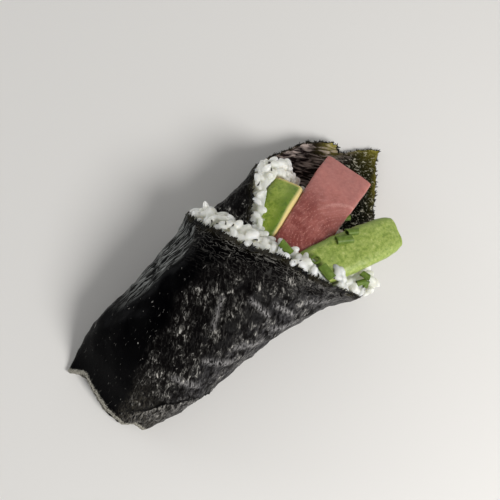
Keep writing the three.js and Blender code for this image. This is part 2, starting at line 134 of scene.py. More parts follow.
surround = bpy.data.worlds.new("surround")
surround.use_nodes = True
tree = surround.node_tree
tree.nodes.clear()
direction = wire(tree, "ShaderNodeTexCoord")
above = wire(tree, "ShaderNodeSeparateXYZ", {"Vector": direction.outputs["Generated"]}).outputs["Z"]
fall = wire(
    tree,
    "ShaderNodeMapRange",
    {"Value": above, "From Min": 0.15, "From Max": 0.9, "To Min": 0.9, "To Max": 0.12},
    interpolation_type="SMOOTHSTEP",
).outputs["Result"]
glow = wire(tree, "ShaderNodeBackground", {"Color": (1, 0.99, 0.97, 1), "Strength": fall})
wire(tree, "ShaderNodeOutputWorld", {"Surface": glow.outputs["Background"]})
bpy.context.scene.world = surround
bpy.context.scene.view_settings.view_transform = "Standard"

# Seaweed wrap.
# One sheet of toasted seaweed, pressed and dried from shredded strands, wound about one and a
# half times round the rice from the left wall of the mouth over the floor and the top. It
# crinkles over the grains, its cut edges are ragged, and its far corner stands out as a tongue.
MIDDLE = np.array([8.8, -2.05, 0.0])
SHEET = 0.45
SINK = 0.9
WIDEST = 0.45
WIND_FROM = 95
WIND_TO = -472
INNER_START = -12
# winding angle where the outer face begins to show
OUTER_FROM = -112
TURN_STEPS = 440
LENGTH_STEPS = 106
CLOSER_AT_EDGE = 1.28
LENGTHWISE = 0.62
MM_PER_DEGREE = 0.32
# station x, left side y, right side y, height, roundness of the section
STATIONS = [
    [-76, 21.6, -15.5, 3.2, 1.25],
    [-71, 23.0, -17.2, 5.2, 1.2],
    [-65, 25.0, -18.6, 11.5, 1.12],
    [-57, 27.0, -21.2, 21.5, 1.0],
    [-48, 28.4, -23.6, 30.0, 0.93],
    [-32, 29.2, -25.4, 37.5, 0.9],
    [-14, 31.0, -26.4, 42.0, 0.9],
    [0, 32.0, -27.4, 44.2, 0.9],
    [9, 35.4, -28.4, 45.0, 0.9],
    [25, 35.6, -31.6, 45.5, 0.9],
    [37, 36.6, -37.6, 45.5, 0.9],
    [52, 39.0, -40.5, 45.5, 0.9],
    [94, 43.5, -44.0, 45.5, 0.9],
]
# winding angle, station x of the sheet's front edge
FRONT_EDGE = [
    [-480, 7], [-430, 7], [-360, 7.4], [-349, 7.8], [-331, 6.8], [-313, 7.4], [-296, 10.0],
    [-284, 12.2], [-275, 14.5], [-268, 17.2], [-262, 20.0], [-254, 22.2], [-244, 24.2],
    [-236, 25.2], [-227, 27.2], [-218, 29.6], [-205, 33.2], [-182, 36.8], [-165, 41.0],
    [-136, 49.5], [-111, 68.0], [-100, 77.0], [-91, 84.8], [-86, 91.0], [-82, 88.2],
    [-78, 85.2], [-73, 78.6], [-70, 76.8], [-66, 78.4], [-61, 77.8], [-56, 74.0],
    [-50, 71.2], [-44, 68.5], [-36, 61.0], [-28, 56.0], [-20, 52.5], [-14, 48.4],
    [0, 43.4], [20, 38.8], [52, 30.0], [70, 22.2], [100, 15],
]
# y, station x of the closed edge of the tail
TAIL_EDGE = [
    [-30, -63.5], [-18.8, -65.2], [-13.2, -67.1], [-10.7, -71.1], [-1.3, -72.2], [8, -70.8],
    [14.6, -69.2], [18, -70.4], [22.3, -73.6], [30, -74],
]
# station x, winding angles where the smooth part painted dark as shade ends and where the left shoulder
# folds
ZONES = [
    [-72, -238, -335], [-61, -247, -330], [-49, -263, -324], [-36, -272, -316], [-24, -278, -309],
    [-14, -281, -308], [-3, -283, -307], [6, -272, -324], [14, -262, -330], [24, -252, -334],
]
# station x, winding angle of the folded edge across the right half of the tail
TAIL_FOLD = [[-67, -238], [-59.2, -226], [-50.5, -222], [-42, -205], [-31, -176]]
# winding angle and station x of both ends, half width and height of each crease of the right side; the
# height also sets the strength of its painted highlight
CREASES = [
    [-246, 2.2, -224, 3.4, 0.9, 0.5], [-228, 8.2, -209, 11.2, 1.0, 0.45], [-219, -14, -200, -5, 1.6, 0.4],
    [-214, 16, -196, 26, 1.4, 0.3], [-232, -27, -206, -20, 1.3, 0.4], [-240, -41, -214, -36, 1.1, 0.45],
    [-262, -6, -250, -16, 1.0, 0.3], [-206, 2, -190, 10, 1.4, 0.4],
]
# winding angle, how far the inner turn lies inside the outer one
INSET = [[-480, 0], [-175, 0], [-125, 0.62], [-88, 0.75], [-60, 2.6], [-25, 5.4], [0, 6.1], [100, 6.1]]


def shade(red, green, blue):
    """A colour seen as 0 to 255 values, as the light that it returns."""
    seen = np.array([red, green, blue]) / 255
    light = np.where(seen <= 0.04045, seen / 12.92, ((seen + 0.055) / 1.055) ** 2.4)
    return (*[float(value) for value in light], 1.0)


def to_frame(points):
    return (np.asarray(points, float) - MIDDLE) / 1000


def read_smooth(rows, t, column):
    table = np.array(rows, float)
    at, value = table[:, 0], table[:, column]
    t = np.clip(np.asarray(t, float), at[0], at[-1])
    order = np.arange(len(at))
    after, before = np.minimum(order + 1, len(at) - 1), np.maximum(order - 1, 0)
    slope = (value[after] - value[before]) / (at[after] - at[before])
    i = np.clip(np.searchsorted(at, t, side="left") - 1, 0, len(at) - 2)
    span = at[i + 1] - at[i]
    u = (t - at[i]) / span
    v = u * u * (3 - 2 * u)
    rise = slope[i] * span * (u**3 - 2 * u**2 + u)
    fall = slope[i + 1] * span * (u**3 - u**2)
    return value[i] * (1 - v) + value[i + 1] * v + rise + fall


def read_straight(rows, t, column=1):
    table = np.array(rows, float)
    return np.interp(t, table[:, 0], table[:, column])


def ease(value, low, high):
    t = np.clip((value - low) / (high - low), 0, 1)
    return t * t * (3 - 2 * t)


def waviness(degrees, x):
    a = np.radians(degrees)
    body = ease(x, -70, -45)
    soft = 0.45 * np.sin(2 * a + x * 0.07) + 0.32 * np.sin(5 * a - x * 0.13 + 1.1)
    fine = 0.2 * np.sin(9 * a + x * 0.31) + 0.14 * np.sin(13 * a - x * 0.45 + 2)
    facet = np.exp(-(((np.mod(degrees, 360) - 36) / 15) ** 2)) * ease(x, -50, -5)
    return body * (soft + fine) - 2.2 * facet * ease(-x, -22, -8)


def squared(wave, power):
    """A sine or cosine whose curve a power below 1 squares off and one above 1 pinches."""
    return np.sign(wave) * np.abs(wave) ** power


def wrap_point(degrees, x, inset):
    left, right, height, power = (read_smooth(STATIONS, x, k) for k in (1, 2, 3, 4))
    c, s = np.cos(np.radians(degrees)), np.sin(np.radians(degrees))
    wave = waviness(degrees, x) - inset
    centre = height * WIDEST
    upright = np.where(s > 0, height - centre, centre + SINK) + wave
    y = (left + right) / 2 + ((left - right) / 2 + wave) * squared(c, power)
    z = centre + upright * squared(s, power)
    return np.stack([x + 0 * y, y, np.maximum(z, np.maximum(inset, 0))], -1)


def sheet_start(degrees):
    tail = read_straight(TAIL_EDGE, wrap_point(degrees, np.full_like(degrees, -70.0), 0)[:, 1])
    return INNER_START + (tail - INNER_START) * ease(-degrees, 55, 110)


def rough(points, size, seed):
    """Smooth noise from -1 to 1 at points in millimetres, with hollows about that size apart."""
    shift = Vector((seed * 7.31, seed * 3.17, seed * 5.77))
    return np.array([noise.noise(Vector(p) / size + shift) for p in np.asarray(points).reshape(-1, 3)])


def creases(points, size, seed):
    """Sharp ridges about that many millimetres apart, from 0 between them to 1 on them."""
    return np.clip(1 - np.abs(rough(points, size, seed)) / 0.32, 0, 1) ** 1.6


def ragged(along, size, seed):
    return rough(np.stack([along, 0 * along, 0 * along], 1), size, seed)


# The sheet as a grid: rows round the roll, columns from its start to its front edge
turns = np.linspace(WIND_FROM, WIND_TO, TURN_STEPS)
middle_row = wrap_point(turns, np.full_like(turns, 10.0), read_straight(INSET, turns))
around = np.concatenate([[0], np.cumsum(np.linalg.norm(np.diff(middle_row, axis=0), axis=1))])
edge_tear = 0.6 * ragged(around, 1.3, 1) + 0.5 * ragged(around, 3.7, 2) + 0.5 * ragged(around, 0.7, 3)
tongue = ease(turns, -135, -105)
edge = read_straight(FRONT_EDGE, turns) + edge_tear * (1.0 + 0.8 * tongue)
tail_tear = 0.5 * ragged(around, 2.6, 4) + 0.3 * ragged(around, 0.9, 5)
underside = ease(-turns, 70, 95) * ease(-turns, 150, 125) + ease(-turns, 385, 405)
start = sheet_start(turns) + tail_tear - 1.0 * underside
t = np.linspace(0, 1, LENGTH_STEPS)
spread = 1 - (1 - t) ** CLOSER_AT_EDGE
grid_x = start[:, None] + (edge - start)[:, None] * spread[None, :]
grid_turn = np.repeat(turns[:, None], LENGTH_STEPS, 1)
inset = np.repeat(read_straight(INSET, turns)[:, None], LENGTH_STEPS, 1)
base = wrap_point(grid_turn.ravel(), grid_x.ravel(), inset.ravel()).reshape(TURN_STEPS, LENGTH_STEPS, 3)
stretched = base * [LENGTHWISE, 1, 1]
body = ease(grid_x, -73, -60).ravel()
flat_turn, flat_x = grid_turn.ravel(), grid_x.ravel()

# Where the sheet is smooth and painted dark as shade, where its left shoulder folds and where it is creased
outer = ease(-flat_turn, -OUTER_FROM, 150)
wander = 7 * rough(stretched, 9, 15)
smooth_shaded_edge = read_straight(ZONES, flat_x, 1) + wander
shoulder_edge = read_straight(ZONES, flat_x, 2) + wander * 0.5
below = ease(-flat_turn, 342, 366)
shoulder = outer * ease(shoulder_edge - flat_turn, -2, 5) * ease(flat_x, -44, -20) * (1 - below)
# Painted shade: the smooth part's colour is darkened to near-black
smooth_shaded = outer * ease(smooth_shaded_edge - flat_turn, -7, 7) * (1 - shoulder) * (1 - below)
arc = np.interp(-flat_turn, -turns, around)
fold_away = (flat_turn - read_straight(TAIL_FOLD, flat_x)) * MM_PER_DEGREE
at_fold = outer * ease(flat_x, -68, -64) * ease(flat_x, -29, -35)
crinkle = 0.45 * (creases(stretched, 12, 11) - 0.4) + 0.34 * (creases(base, 6.5, 12) - 0.35)
crinkle = crinkle + 0.26 * rough(base, 3.2, 13) + 0.14 * rough(base, 1.7, 14)
crinkle = crinkle * (0.35 + 0.65 * body) * (1 - 0.75 * smooth_shaded)
crinkle = crinkle + at_fold * np.where(
    fold_away < 0, 1.1 * np.exp(fold_away / 3.5), -0.3 * np.exp(-fold_away / 1.2)
)
# Painted highlight along each crease, as strong as its height
pinched = np.zeros_like(flat_x)
for angle, x, end_angle, end_x, half, rise in CREASES:
    first = np.array([np.interp(-angle, -turns, around), x])
    along = np.array([np.interp(-end_angle, -turns, around), end_x]) - first
    reach = np.stack([arc, flat_x], 1) - first
    run = np.clip(reach @ along / (along @ along), 0, 1)
    away = np.linalg.norm(reach - run[:, None] * along, axis=1)
    one = np.exp(-((away / half) ** 2)) * (flat_turn < OUTER_FROM)
    crinkle = crinkle + rise * one
    pinched = np.maximum(pinched, one * rise)
crinkle = crinkle.reshape(TURN_STEPS, LENGTH_STEPS)

# Both faces, each a sheet's thickness from the other, joined round the rim
faces_of_sheet = []
for side in (0, SHEET):
    depth = (inset + side - crinkle).ravel()
    points = wrap_point(grid_turn.ravel(), grid_x.ravel(), depth)
    points[:, 2] = np.maximum(points[:, 2], (inset + side).ravel() * (grid_turn.ravel() < -60))
    faces_of_sheet.append(points)


def grid_faces(rows, columns, first=0, flip=False):
    a = first + (np.arange(rows - 1)[:, None] * columns + np.arange(columns - 1)[None, :]).ravel()
    quads = np.stack([a, a + 1, a + columns + 1, a + columns], 1)
    return quads[:, ::-1] if flip else quads


def face_outwards(mesh):
    work = bmesh.new()
    work.from_mesh(mesh)
    bmesh.ops.recalc_face_normals(work, faces=work.faces)
    work.to_mesh(mesh)
    work.free()


def new_piece(name, points, faces, uv=None, values=None, sharp=40):
    """A smooth-shaded object in the row frame from points in millimetres of the roll."""
    mesh = bpy.data.meshes.new(name)
    mesh.from_pydata(to_frame(points).tolist(), [], [list(map(int, f)) for f in faces])
    if uv is not None:
        layer = mesh.uv_layers.new(name="surface")
        corner = np.empty(len(mesh.loops), int)
        mesh.loops.foreach_get("vertex_index", corner)
        layer.data.foreach_set("uv", np.asarray(uv, np.float32)[corner].ravel())
    for key, data in (values or {}).items():
        mesh.attributes.new(key, "FLOAT", "POINT").data.foreach_set("value", np.asarray(data, np.float32))
    face_outwards(mesh)
    mesh.shade_smooth()
    mesh.set_sharp_from_angle(angle=math.radians(sharp))
    return link_object(name, mesh)


count = TURN_STEPS * LENGTH_STEPS
index = np.arange(count).reshape(TURN_STEPS, LENGTH_STEPS)
loop = np.concatenate([index[:-1, 0], index[-1, :-1], index[::-1, -1][:-1], index[0, ::-1][:-1]])
following = np.roll(loop, -1)
rim = np.stack([loop, following, following + count, loop + count], 1)
sheet_faces = np.concatenate(
    [grid_faces(TURN_STEPS, LENGTH_STEPS), grid_faces(TURN_STEPS, LENGTH_STEPS, count, True), rim]
)
sheet_uv = np.stack([np.repeat(around[:, None], LENGTH_STEPS, 1), grid_x], -1).reshape(-1, 2) / 10
from_edge = (edge[:, None] - grid_x).ravel()
# winding angle, spread in degrees, depth and strength of each thin yellow-green place of the edge
THIN_PLACES = [
    [-63, 6, 3.2, 1.0], [-79, 4, 1.4, 0.6], [-85, 4, 3.4, 0.9], [-97, 7, 1.6, 0.7], [-8, 9, 1.0, 0.5],
]
inside_edge = np.maximum(from_edge, 0)
fringe = 0.07 * np.exp(-inside_edge / 0.7)
for angle, width, depth, strength in THIN_PLACES:
    near = np.exp(-(((flat_turn - angle) / width) ** 2))
    fringe = np.maximum(fringe, strength * near * np.exp(-inside_edge / depth))
on_tongue = np.repeat(tongue[:, None], LENGTH_STEPS, 1).ravel() * ease(flat_x, 20, 40)
from_tail = (grid_x - start[:, None]).ravel()
FAR_FROM_TAIL = 50
on_both_faces = {
    "fringe": fringe,
    "green_side": ease(-flat_turn, 66, 82) * on_tongue,
    "smooth_shaded": smooth_shaded,
    "shoulder": shoulder,
    "lit_side": outer * ease(-flat_turn, 242, 206),
    "tail_part": outer * ease(flat_x, -46, -62) * (1 - smooth_shaded),
    "from_tail": np.where(outer > 0.5, from_tail, FAR_FROM_TAIL),
    "flap": at_fold * ease(fold_away, 0.1, 0.9) * np.exp(-np.maximum(fold_away, 0) / 7),
    # Painted shadow along the tail's fold
    "fold_shadow": at_fold * np.exp(-(((fold_away + 0.5) / 0.8) ** 2)),
    "pinched": pinched,
    "near_edge": outer * np.exp(-inside_edge / 4.5),
}
values = {name: np.tile(value, 2) for name, value in on_both_faces.items()}
values["tongue"] = np.concatenate([on_tongue * 0, on_tongue])
wrap = new_piece(
    "seaweed_sheet", np.concatenate(faces_of_sheet), sheet_faces, np.tile(sheet_uv, (2, 1)), values, 50
)


def own_tree(*values):
    """The tree of the first of the values that is a socket."""
    return next(value.id_data for value in values if isinstance(value, bpy.types.NodeSocket))


def attribute(tree, name):
    return wire(tree, "ShaderNodeAttribute", attribute_name=name).outputs["Fac"]


def calculate(operation, first, *others):
    """Takes one operation on through values. ABSOLUTE and SINE are of the first alone."""
    for other in others or (0.0,):
        tree = own_tree(first, other)
        first = wire(tree, "ShaderNodeMath", {0: first, 1: other}, operation=operation).outputs[0]
    return first


def multiply(*values):
    return calculate("MULTIPLY", *values)


def largest(*values):
    return calculate("MAXIMUM", *values)


def paint(colour, *coats):
    """Lays coats over a colour. Each is its share from 0 to 1 and its own colour."""
    for share, coat in coats:
        tree = own_tree(share, colour)
        mixed = wire(tree, "ShaderNodeMix", {0: share, 6: colour, 7: coat}, data_type="RGBA")
        colour = mixed.outputs[2]
    return colour


def remap(value, low, high, to_low=0.0, to_high=1.0):
    ends = {"From Min": low, "From Max": high, "To Min": to_low, "To Max": to_high}
    return wire(own_tree(value), "ShaderNodeMapRange", {"Value": value, **ends}).outputs["Result"]


def cloud_field(vector, scale, detail, roughness):
    """Noise that is equally wide in every direction."""
    look = {"Vector": vector, "Scale": scale, "Detail": detail, "Roughness": roughness}
    return wire(own_tree(vector), "ShaderNodeTexNoise", look).outputs["Fac"]


def relief(height, strength, distance):
    look = {"Height": height, "Strength": strength, "Distance": distance}
    return wire(own_tree(height), "ShaderNodeBump", look).outputs["Normal"]


seaweed, tree = new_material("toasted seaweed")
uv = wire(tree, "ShaderNodeUVMap", uv_map="surface").outputs["UV"]
part = {name: attribute(tree, name) for name in values}


def grain_field(degrees, stretch, scale, detail, seed):
    """Noise drawn out along one direction of the sheet."""
    laid = wire(
        uv.id_data,
        "ShaderNodeMapping",
        {
            "Vector": uv,
            "Rotation": (0, 0, math.radians(degrees)),
            "Scale": (stretch, 1, 1),
            "Location": (seed, seed, 0),
        },
        vector_type="TEXTURE",
    )
    field = wire(
        uv.id_data,
        "ShaderNodeTexNoise",
        {"Vector": laid.outputs[0], "Scale": scale, "Detail": detail, "Roughness": 0.55, "Distortion": 0.5},
        noise_dimensions="2D",
    )
    return field.outputs["Fac"]


def strands(degrees, stretch, scale, width, seed):
    """Thin crossing strands: the lines where a stretched noise passes its middle."""
    field = grain_field(degrees, stretch, scale, 2.0, seed)
    return remap(calculate("ABSOLUTE", calculate("SUBTRACT", field, 0.5)), 0.0, width, 1.0, 0.0)


# Directions of the strands, in degrees on the flat sheet
LAID = 44
CROSSING = -20
SHORT = 80
big_flecks = remap(grain_field(LAID, 3.0, 9.5, 2.0, 3.0), 0.58, 0.68)
small_flecks = remap(grain_field(LAID, 3.0, 15.0, 2.0, 9.0), 0.57, 0.67)
cross_strands = strands(CROSSING, 3.5, 8.0, 0.035, 9.0)
fibre = largest(
    strands(LAID, 4.0, 9.0, 0.045, 5.0),
    multiply(cross_strands, 0.8),
    multiply(strands(SHORT, 2.5, 12.0, 0.06, 15.0), 0.6),
)
patches = cloud_field(uv, 1.0, 3.0, 0.6)
small_patches = grain_field(LAID, 1.7, 4.2, 5.0, 50.0)
speckle = cloud_field(uv, 14.0, 3.0, 0.7)
wrinkles = grain_field(LAID, 2.4, 13.0, 3.0, 60.0)

# Pale marks: flecks and fibres in clusters, partly the sheet's own pale strands and partly painted glints,
# fewest on the smooth part painted dark as shade and at the edge
cluster = multiply(remap(patches, 0.44, 0.58), remap(small_patches, 0.44, 0.6))
loud = largest(calculate("SUBTRACT", 1.0, part["smooth_shaded"]), 0.05)
beside_edge = calculate("SUBTRACT", 1.0, multiply(part["near_edge"], 0.6))
flecks = multiply(
    largest(big_flecks, multiply(small_flecks, 0.75)), remap(cluster, 0.0, 1.0, 0.14, 0.95)
)
fibre_seen = multiply(fibre, remap(cluster, 0.0, 1.0, 0.06, 0.5))
pale_marks_and_glints = multiply(largest(flecks, fibre_seen), loud, beside_edge)
# A few sparse painted glints, on the dark part as well
sparse_glints = multiply(
    remap(grain_field(70, 2.0, 8.0, 2.0, 71.0), 0.68, 0.74, 0.0, 0.4), remap(small_patches, 0.52, 0.62)
)
edge_marks = multiply(cross_strands, part["near_edge"], 0.5)
pale_marks_and_glints = largest(calculate("POWER", pale_marks_and_glints, 1.7), sparse_glints, edge_marks)

# Outer face: painted sheen on the lit side, the tail, painted sheen in streaks on the left shoulder,
# painted highlights on the creases and the fold's flap, and a painted shadow along the fold
lengthwise = remap(grain_field(97, 6.0, 10.0, 3.0, 21.0), 0.44, 0.6)
# Painted sheen in lengthwise streaks on the left shoulder
painted_shoulder_sheen = paint(shade(7, 8, 9), (calculate("POWER", lengthwise, 1.6), shade(138, 140, 138)))
# Painted sheen on the lit right side
painted_sheen = multiply(part["lit_side"], remap(small_patches, 0.38, 0.62), remap(wrinkles, 0.36, 0.58, 0.3, 1.0))
# Painted highlight on the flap under the tail's fold
flap_highlight = multiply(
    part["flap"], remap(wrinkles, 0.44, 0.58), remap(small_patches, 0.4, 0.6, 0.15, 1.0)
)
strip_edge = calculate("ADD", part["from_tail"], multiply(speckle, 3.6))
cut_layers = paint(shade(176, 173, 162), (remap(speckle, 0.42, 0.6), shade(74, 71, 64)))
# Coats over the dark base: random tone, painted shade on the smooth part, painted sheen on the lit side,
# the tail's grey, the edge's tinge, pale marks with painted glints, the shoulder's painted sheen, painted
# highlights on creases and flap, the fold's painted shadow and the tail's cut layers
colour = paint(
    shade(5, 4, 5),
    (remap(patches, 0.35, 0.65), shade(11, 9, 9)),
    (part["smooth_shaded"], shade(1, 1, 2)),
    (painted_sheen, shade(68, 67, 69)),
    (multiply(part["tail_part"], remap(wrinkles, 0.42, 0.62)), shade(58, 55, 49)),
    (multiply(part["near_edge"], 0.4), shade(13, 10, 7)),
    (pale_marks_and_glints, shade(204, 201, 194)),
    (part["shoulder"], painted_shoulder_sheen),
    (multiply(part["pinched"], remap(wrinkles, 0.4, 0.6, 0.0, 2.0)), shade(150, 148, 148)),
    (flap_highlight, shade(150, 147, 142)),
    (part["fold_shadow"], shade(3, 3, 3)),
    (remap(strip_edge, 3.0, 3.4, 1.0, 0.0), cut_layers),
)

# Inner face, on the tongue: purple with pale bands, partly the ridges' own tone and partly painted
# highlights on them, and green with white specks at the right
pale_bands_and_highlights = remap(grain_field(46, 5.0, 9.0, 3.0, 31.0), 0.45, 0.66)
large_specks = remap(grain_field(60, 1.6, 9.0, 2.0, 41.0), 0.6, 0.68)
white_specks = largest(multiply(remap(speckle, 0.57, 0.65), 0.75), large_specks)
inner_colour = paint(
    paint(shade(30, 22, 22), (pale_bands_and_highlights, shade(170, 156, 150))),
    (part["green_side"], paint(shade(14, 15, 8), (white_specks, shade(164, 161, 146)))),
)
frayed = multiply(part["fringe"], remap(speckle, 0.35, 0.6, 0.5, 1.3))
colour = paint(colour, (part["tongue"], inner_colour), (frayed, shade(150, 142, 62)))
height = calculate(
    "ADD",
    multiply(pale_marks_and_glints, 0.8),
    multiply(speckle, 0.12, loud),
    multiply(lengthwise, part["shoulder"], 0.6),
    multiply(largest(pale_bands_and_highlights, white_specks), part["tongue"], 0.7),
)
close_material(
    tree,
    Base_Color=colour,
    Roughness=remap(small_patches, 0.3, 0.7, 0.22, 0.36),
    Normal=relief(height, 0.9, 0.0005),
    Specular_IOR_Level=0.02,
)
wrap.data.materials.append(seaweed)
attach(wrap, "root")
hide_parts("seaweed_wrap")

# Loose strands.
# The ends of the shredded seaweed where the sheet was cut or torn. They stick out of its front
# edges, thin and stiff, most of them straight ahead and some bent aside.
# first and last winding angle, number, spread of the directions, longest strand
EDGE_STRANDS = [(-372, 88, 1500, 0.85, 2.3), (-338, -150, 620, 0.5, 3.6)]
STRAND_SIDES = 4
LOWEST_END = 0.15
LIFT_SPREAD = 0.22
ROOT_DEPTH = 0.1
strand_random = np.random.default_rng(905)


def unit(vector):
    return vector / np.linalg.norm(vector)


def object_place(tree):
    return wire(tree, "ShaderNodeTexCoord").outputs["Object"]


def bake_modifiers(name, piece):
    """The piece's mesh with its modifiers in it. The piece itself goes."""
    bpy.context.view_layer.update()
    evaluated = piece.evaluated_get(bpy.context.evaluated_depsgraph_get())
    mesh = bpy.data.meshes.new_from_object(evaluated)
    bpy.data.objects.remove(piece)
    mesh.name = name
    return mesh


def lay_pieces(name, rows, shapes, length, seed, finish):
    """One piece of many small shapes. Each row is a middle, three axes and a size, and takes
    one of the three shapes, which are deleted afterwards."""
    mesh = bpy.data.meshes.new(name)
    mesh.from_pydata(to_frame([row[0] for row in rows]).tolist(), [], [])
    turns = [tuple(Matrix(np.stack(row[1:4], 1).tolist()).to_euler()) for row in rows]
    mesh.attributes.new("turn", "FLOAT_VECTOR", "POINT").data.foreach_set("vector", np.ravel(turns))
    mesh.attributes.new("size", "FLOAT", "POINT").data.foreach_set("value", [row[4] for row in rows])
    tree = bpy.data.node_groups.new(name, "GeometryNodeTree")
    for end in ("INPUT", "OUTPUT"):
        tree.interface.new_socket("Geometry", in_out=end, socket_type="NodeSocketGeometry")
    kinds = wire(tree, "GeometryNodeJoinGeometry")
    for shape in shapes[::-1]:
        one = wire(tree, "GeometryNodeObjectInfo", {"Object": shape, "As Instance": True})
        tree.links.new(one.outputs["Geometry"], kinds.inputs["Geometry"])
    turn = wire(tree, "GeometryNodeInputNamedAttribute", {"Name": "turn"}, data_type="FLOAT_VECTOR")
    size = wire(tree, "GeometryNodeInputNamedAttribute", {"Name": "size"}, data_type="FLOAT")
    last_kind = len(shapes) - 1
    kind = wire(tree, "FunctionNodeRandomValue", {4: 0, 5: last_kind, "Seed": seed}, data_type="INT")
    rotation = wire(tree, "FunctionNodeEulerToRotation", {"Euler": turn.outputs["Attribute"]})
    laid = wire(
        tree,
        "GeometryNodeInstanceOnPoints",
        {
            "Points": wire(tree, "NodeGroupInput").outputs["Geometry"],
            "Instance": kinds.outputs["Geometry"],
            "Pick Instance": True,
            "Instance Index": kind.outputs[2],
            "Rotation": rotation.outputs["Rotation"],
            "Scale": multiply(size.outputs["Attribute"], length / 1000),
        },
    )
    real = wire(tree, "GeometryNodeRealizeInstances", {"Geometry": laid.outputs["Instances"]})
    finished = {"Geometry": real.outputs["Geometry"], "Material": finish}
    finished = wire(tree, "GeometryNodeSetMaterial", finished).outputs["Geometry"]
    wire(tree, "NodeGroupOutput", {"Geometry": finished})
    places = link_object(name, mesh)
    places.modifiers.new("shapes", "NODES").node_group = tree
    result = bake_modifiers(name, places)
    for shape in shapes:
        bpy.data.objects.remove(shape)
    return link_object(name, result)


def tube_faces(rings, sides, first=0, closed=False):
    """Faces between neighbouring rings of points, and from the last to the first if closed."""
    faces = []
    for j in range(rings if closed else rings - 1):
        near, far = first + j * sides, first + (j + 1) % rings * sides
        for i in range(sides):
            k = (i + 1) % sides
            faces.append((near + i, near + k, far + k, far + i))
    return faces


def shape_from(name, points, faces):
    mesh = bpy.data.meshes.new(name)
    mesh.from_pydata(points, [], faces)
    return link_object(name, mesh)


def strand(name, bend):
    """One loose strand, 1 long, tapering to a point from a root sunk in the edge."""
    stations = [(-0.35, 0.17, 0), (0.1, 0.15, 0.02), (0.4, 0.09, bend * 0.5), (0.65, 0.01, bend)]
    points = []
    for x, r, side in stations:
        for a in 2 * math.pi / STRAND_SIDES * np.arange(STRAND_SIDES):
            points.append((x, math.cos(a) * r + side, math.sin(a) * r * 0.6))
    ends = [(3, 2, 1, 0), (12, 13, 14, 15)]
    return shape_from(name, points, ends + tube_faces(len(stations), STRAND_SIDES))


edge_rows, drawn = [], []
for first, last, number, spread, longest in EDGE_STRANDS:
    for angle in strand_random.uniform(first, last, number):
        drawn.append((angle, spread, longest))
for angle, spread, longest in drawn:
    edge_at = float(np.interp(-angle, -turns, edge))
    lies_in = float(read_straight(INSET, angle)) + SHEET / 2
    near = wrap_point(
        np.array([angle, angle, angle + 0.5]),
        np.array([edge_at, edge_at + 0.4, edge_at]),
        np.array([lies_in] * 3),
    )
    out, aside = unit(near[1] - near[0]), unit(near[2] - near[0])
    swing = strand_random.normal(0, spread)
    face = np.cross(out, aside)
    way = out * math.cos(swing) + aside * math.sin(swing) + face * strand_random.normal(0, LIFT_SPREAD)
    way = unit(way)
    side = unit(np.cross(face, way))
    size = strand_random.uniform(0.5, 1.0) ** 2 * longest
    spot = near[0] - out * ROOT_DEPTH + [0, 0, ROOT_DEPTH]
    if spot[2] + way[2] * size * 0.6 > LOWEST_END:
        edge_rows.append((spot, way, side, np.cross(way, side), size))
strand_finish, tree = new_material("loose seaweed strands")
tangle = cloud_field(object_place(tree), 240.0, 2.0, 0.5)
close_material(
    tree,
    Base_Color=paint(shade(6, 5, 4), (remap(tangle, 0.42, 0.66), shade(36, 32, 19))),
    Roughness=remap(tangle, 0.3, 0.7, 0.35, 0.5),
    Specular_IOR_Level=0.2,
)
strand_kinds = [strand("strand_straight", 0.0), strand("strand_left", 0.16), strand("strand_right", -0.2)]
strands_on_edge = lay_pieces(
    "seaweed_edge_strands", edge_rows, strand_kinds, length=1.0, seed=5, finish=strand_finish
)
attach(strands_on_edge, "root")
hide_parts("seaweed_wrap")

# Tuna slice.
# A block cut from raw red tuna, with fine pale grain across it, bent down over the rice so
# that its square far end lies on the seaweed.
# x, y, z of the middle, width, thickness, tilt
TUNA_PATH = [
    [4, -13.0, 30.6, 17.0, 8.6, 6],
    [16, -10.2, 31.6, 19.0, 9.2, 6],
    [30.3, -6.2, 29.4, 19.6, 9.2, 5],
    [46.4, -2.0, 25.2, 20.6, 9.0, 3],
    [57.0, 0.8, 20.0, 21.6, 8.8, 2],
    [65.5, 3.0, 14.2, 22.2, 8.4, 0],
    [71.4, 4.4, 9.6, 22.4, 8.0, 0],
]
# middle of the pale grain's rings and how far from it the painted highlight along the bend runs
FAN_MIDDLE = [43.9, -20, 29]
BEND_FROM_FAN = 20.3
BEND_HALF = 1.2
GRAIN_STEP = 1.6


def section_angles(width, thickness, corner, around):
    """Angles that put points evenly round a squared-off oval."""
    a = np.linspace(0, 2 * math.pi, 2881)
    w = width / 2 * squared(np.cos(a), corner)
    h = thickness / 2 * squared(np.sin(a), corner)
    run = np.concatenate([[0], np.cumsum(np.hypot(np.diff(w), np.diff(h)))])
    return np.interp(np.linspace(0, run[-1], around, endpoint=False), run, a)


def end_faces(first, top, sides):
    """Faces from the first end point to the first ring and from the next one to the ring at top."""
    faces = []
    for i in range(sides):
        k = (i + 1) % sides
        faces += [(first, k, i), (first + 1, top + i, top + k)]
    return faces


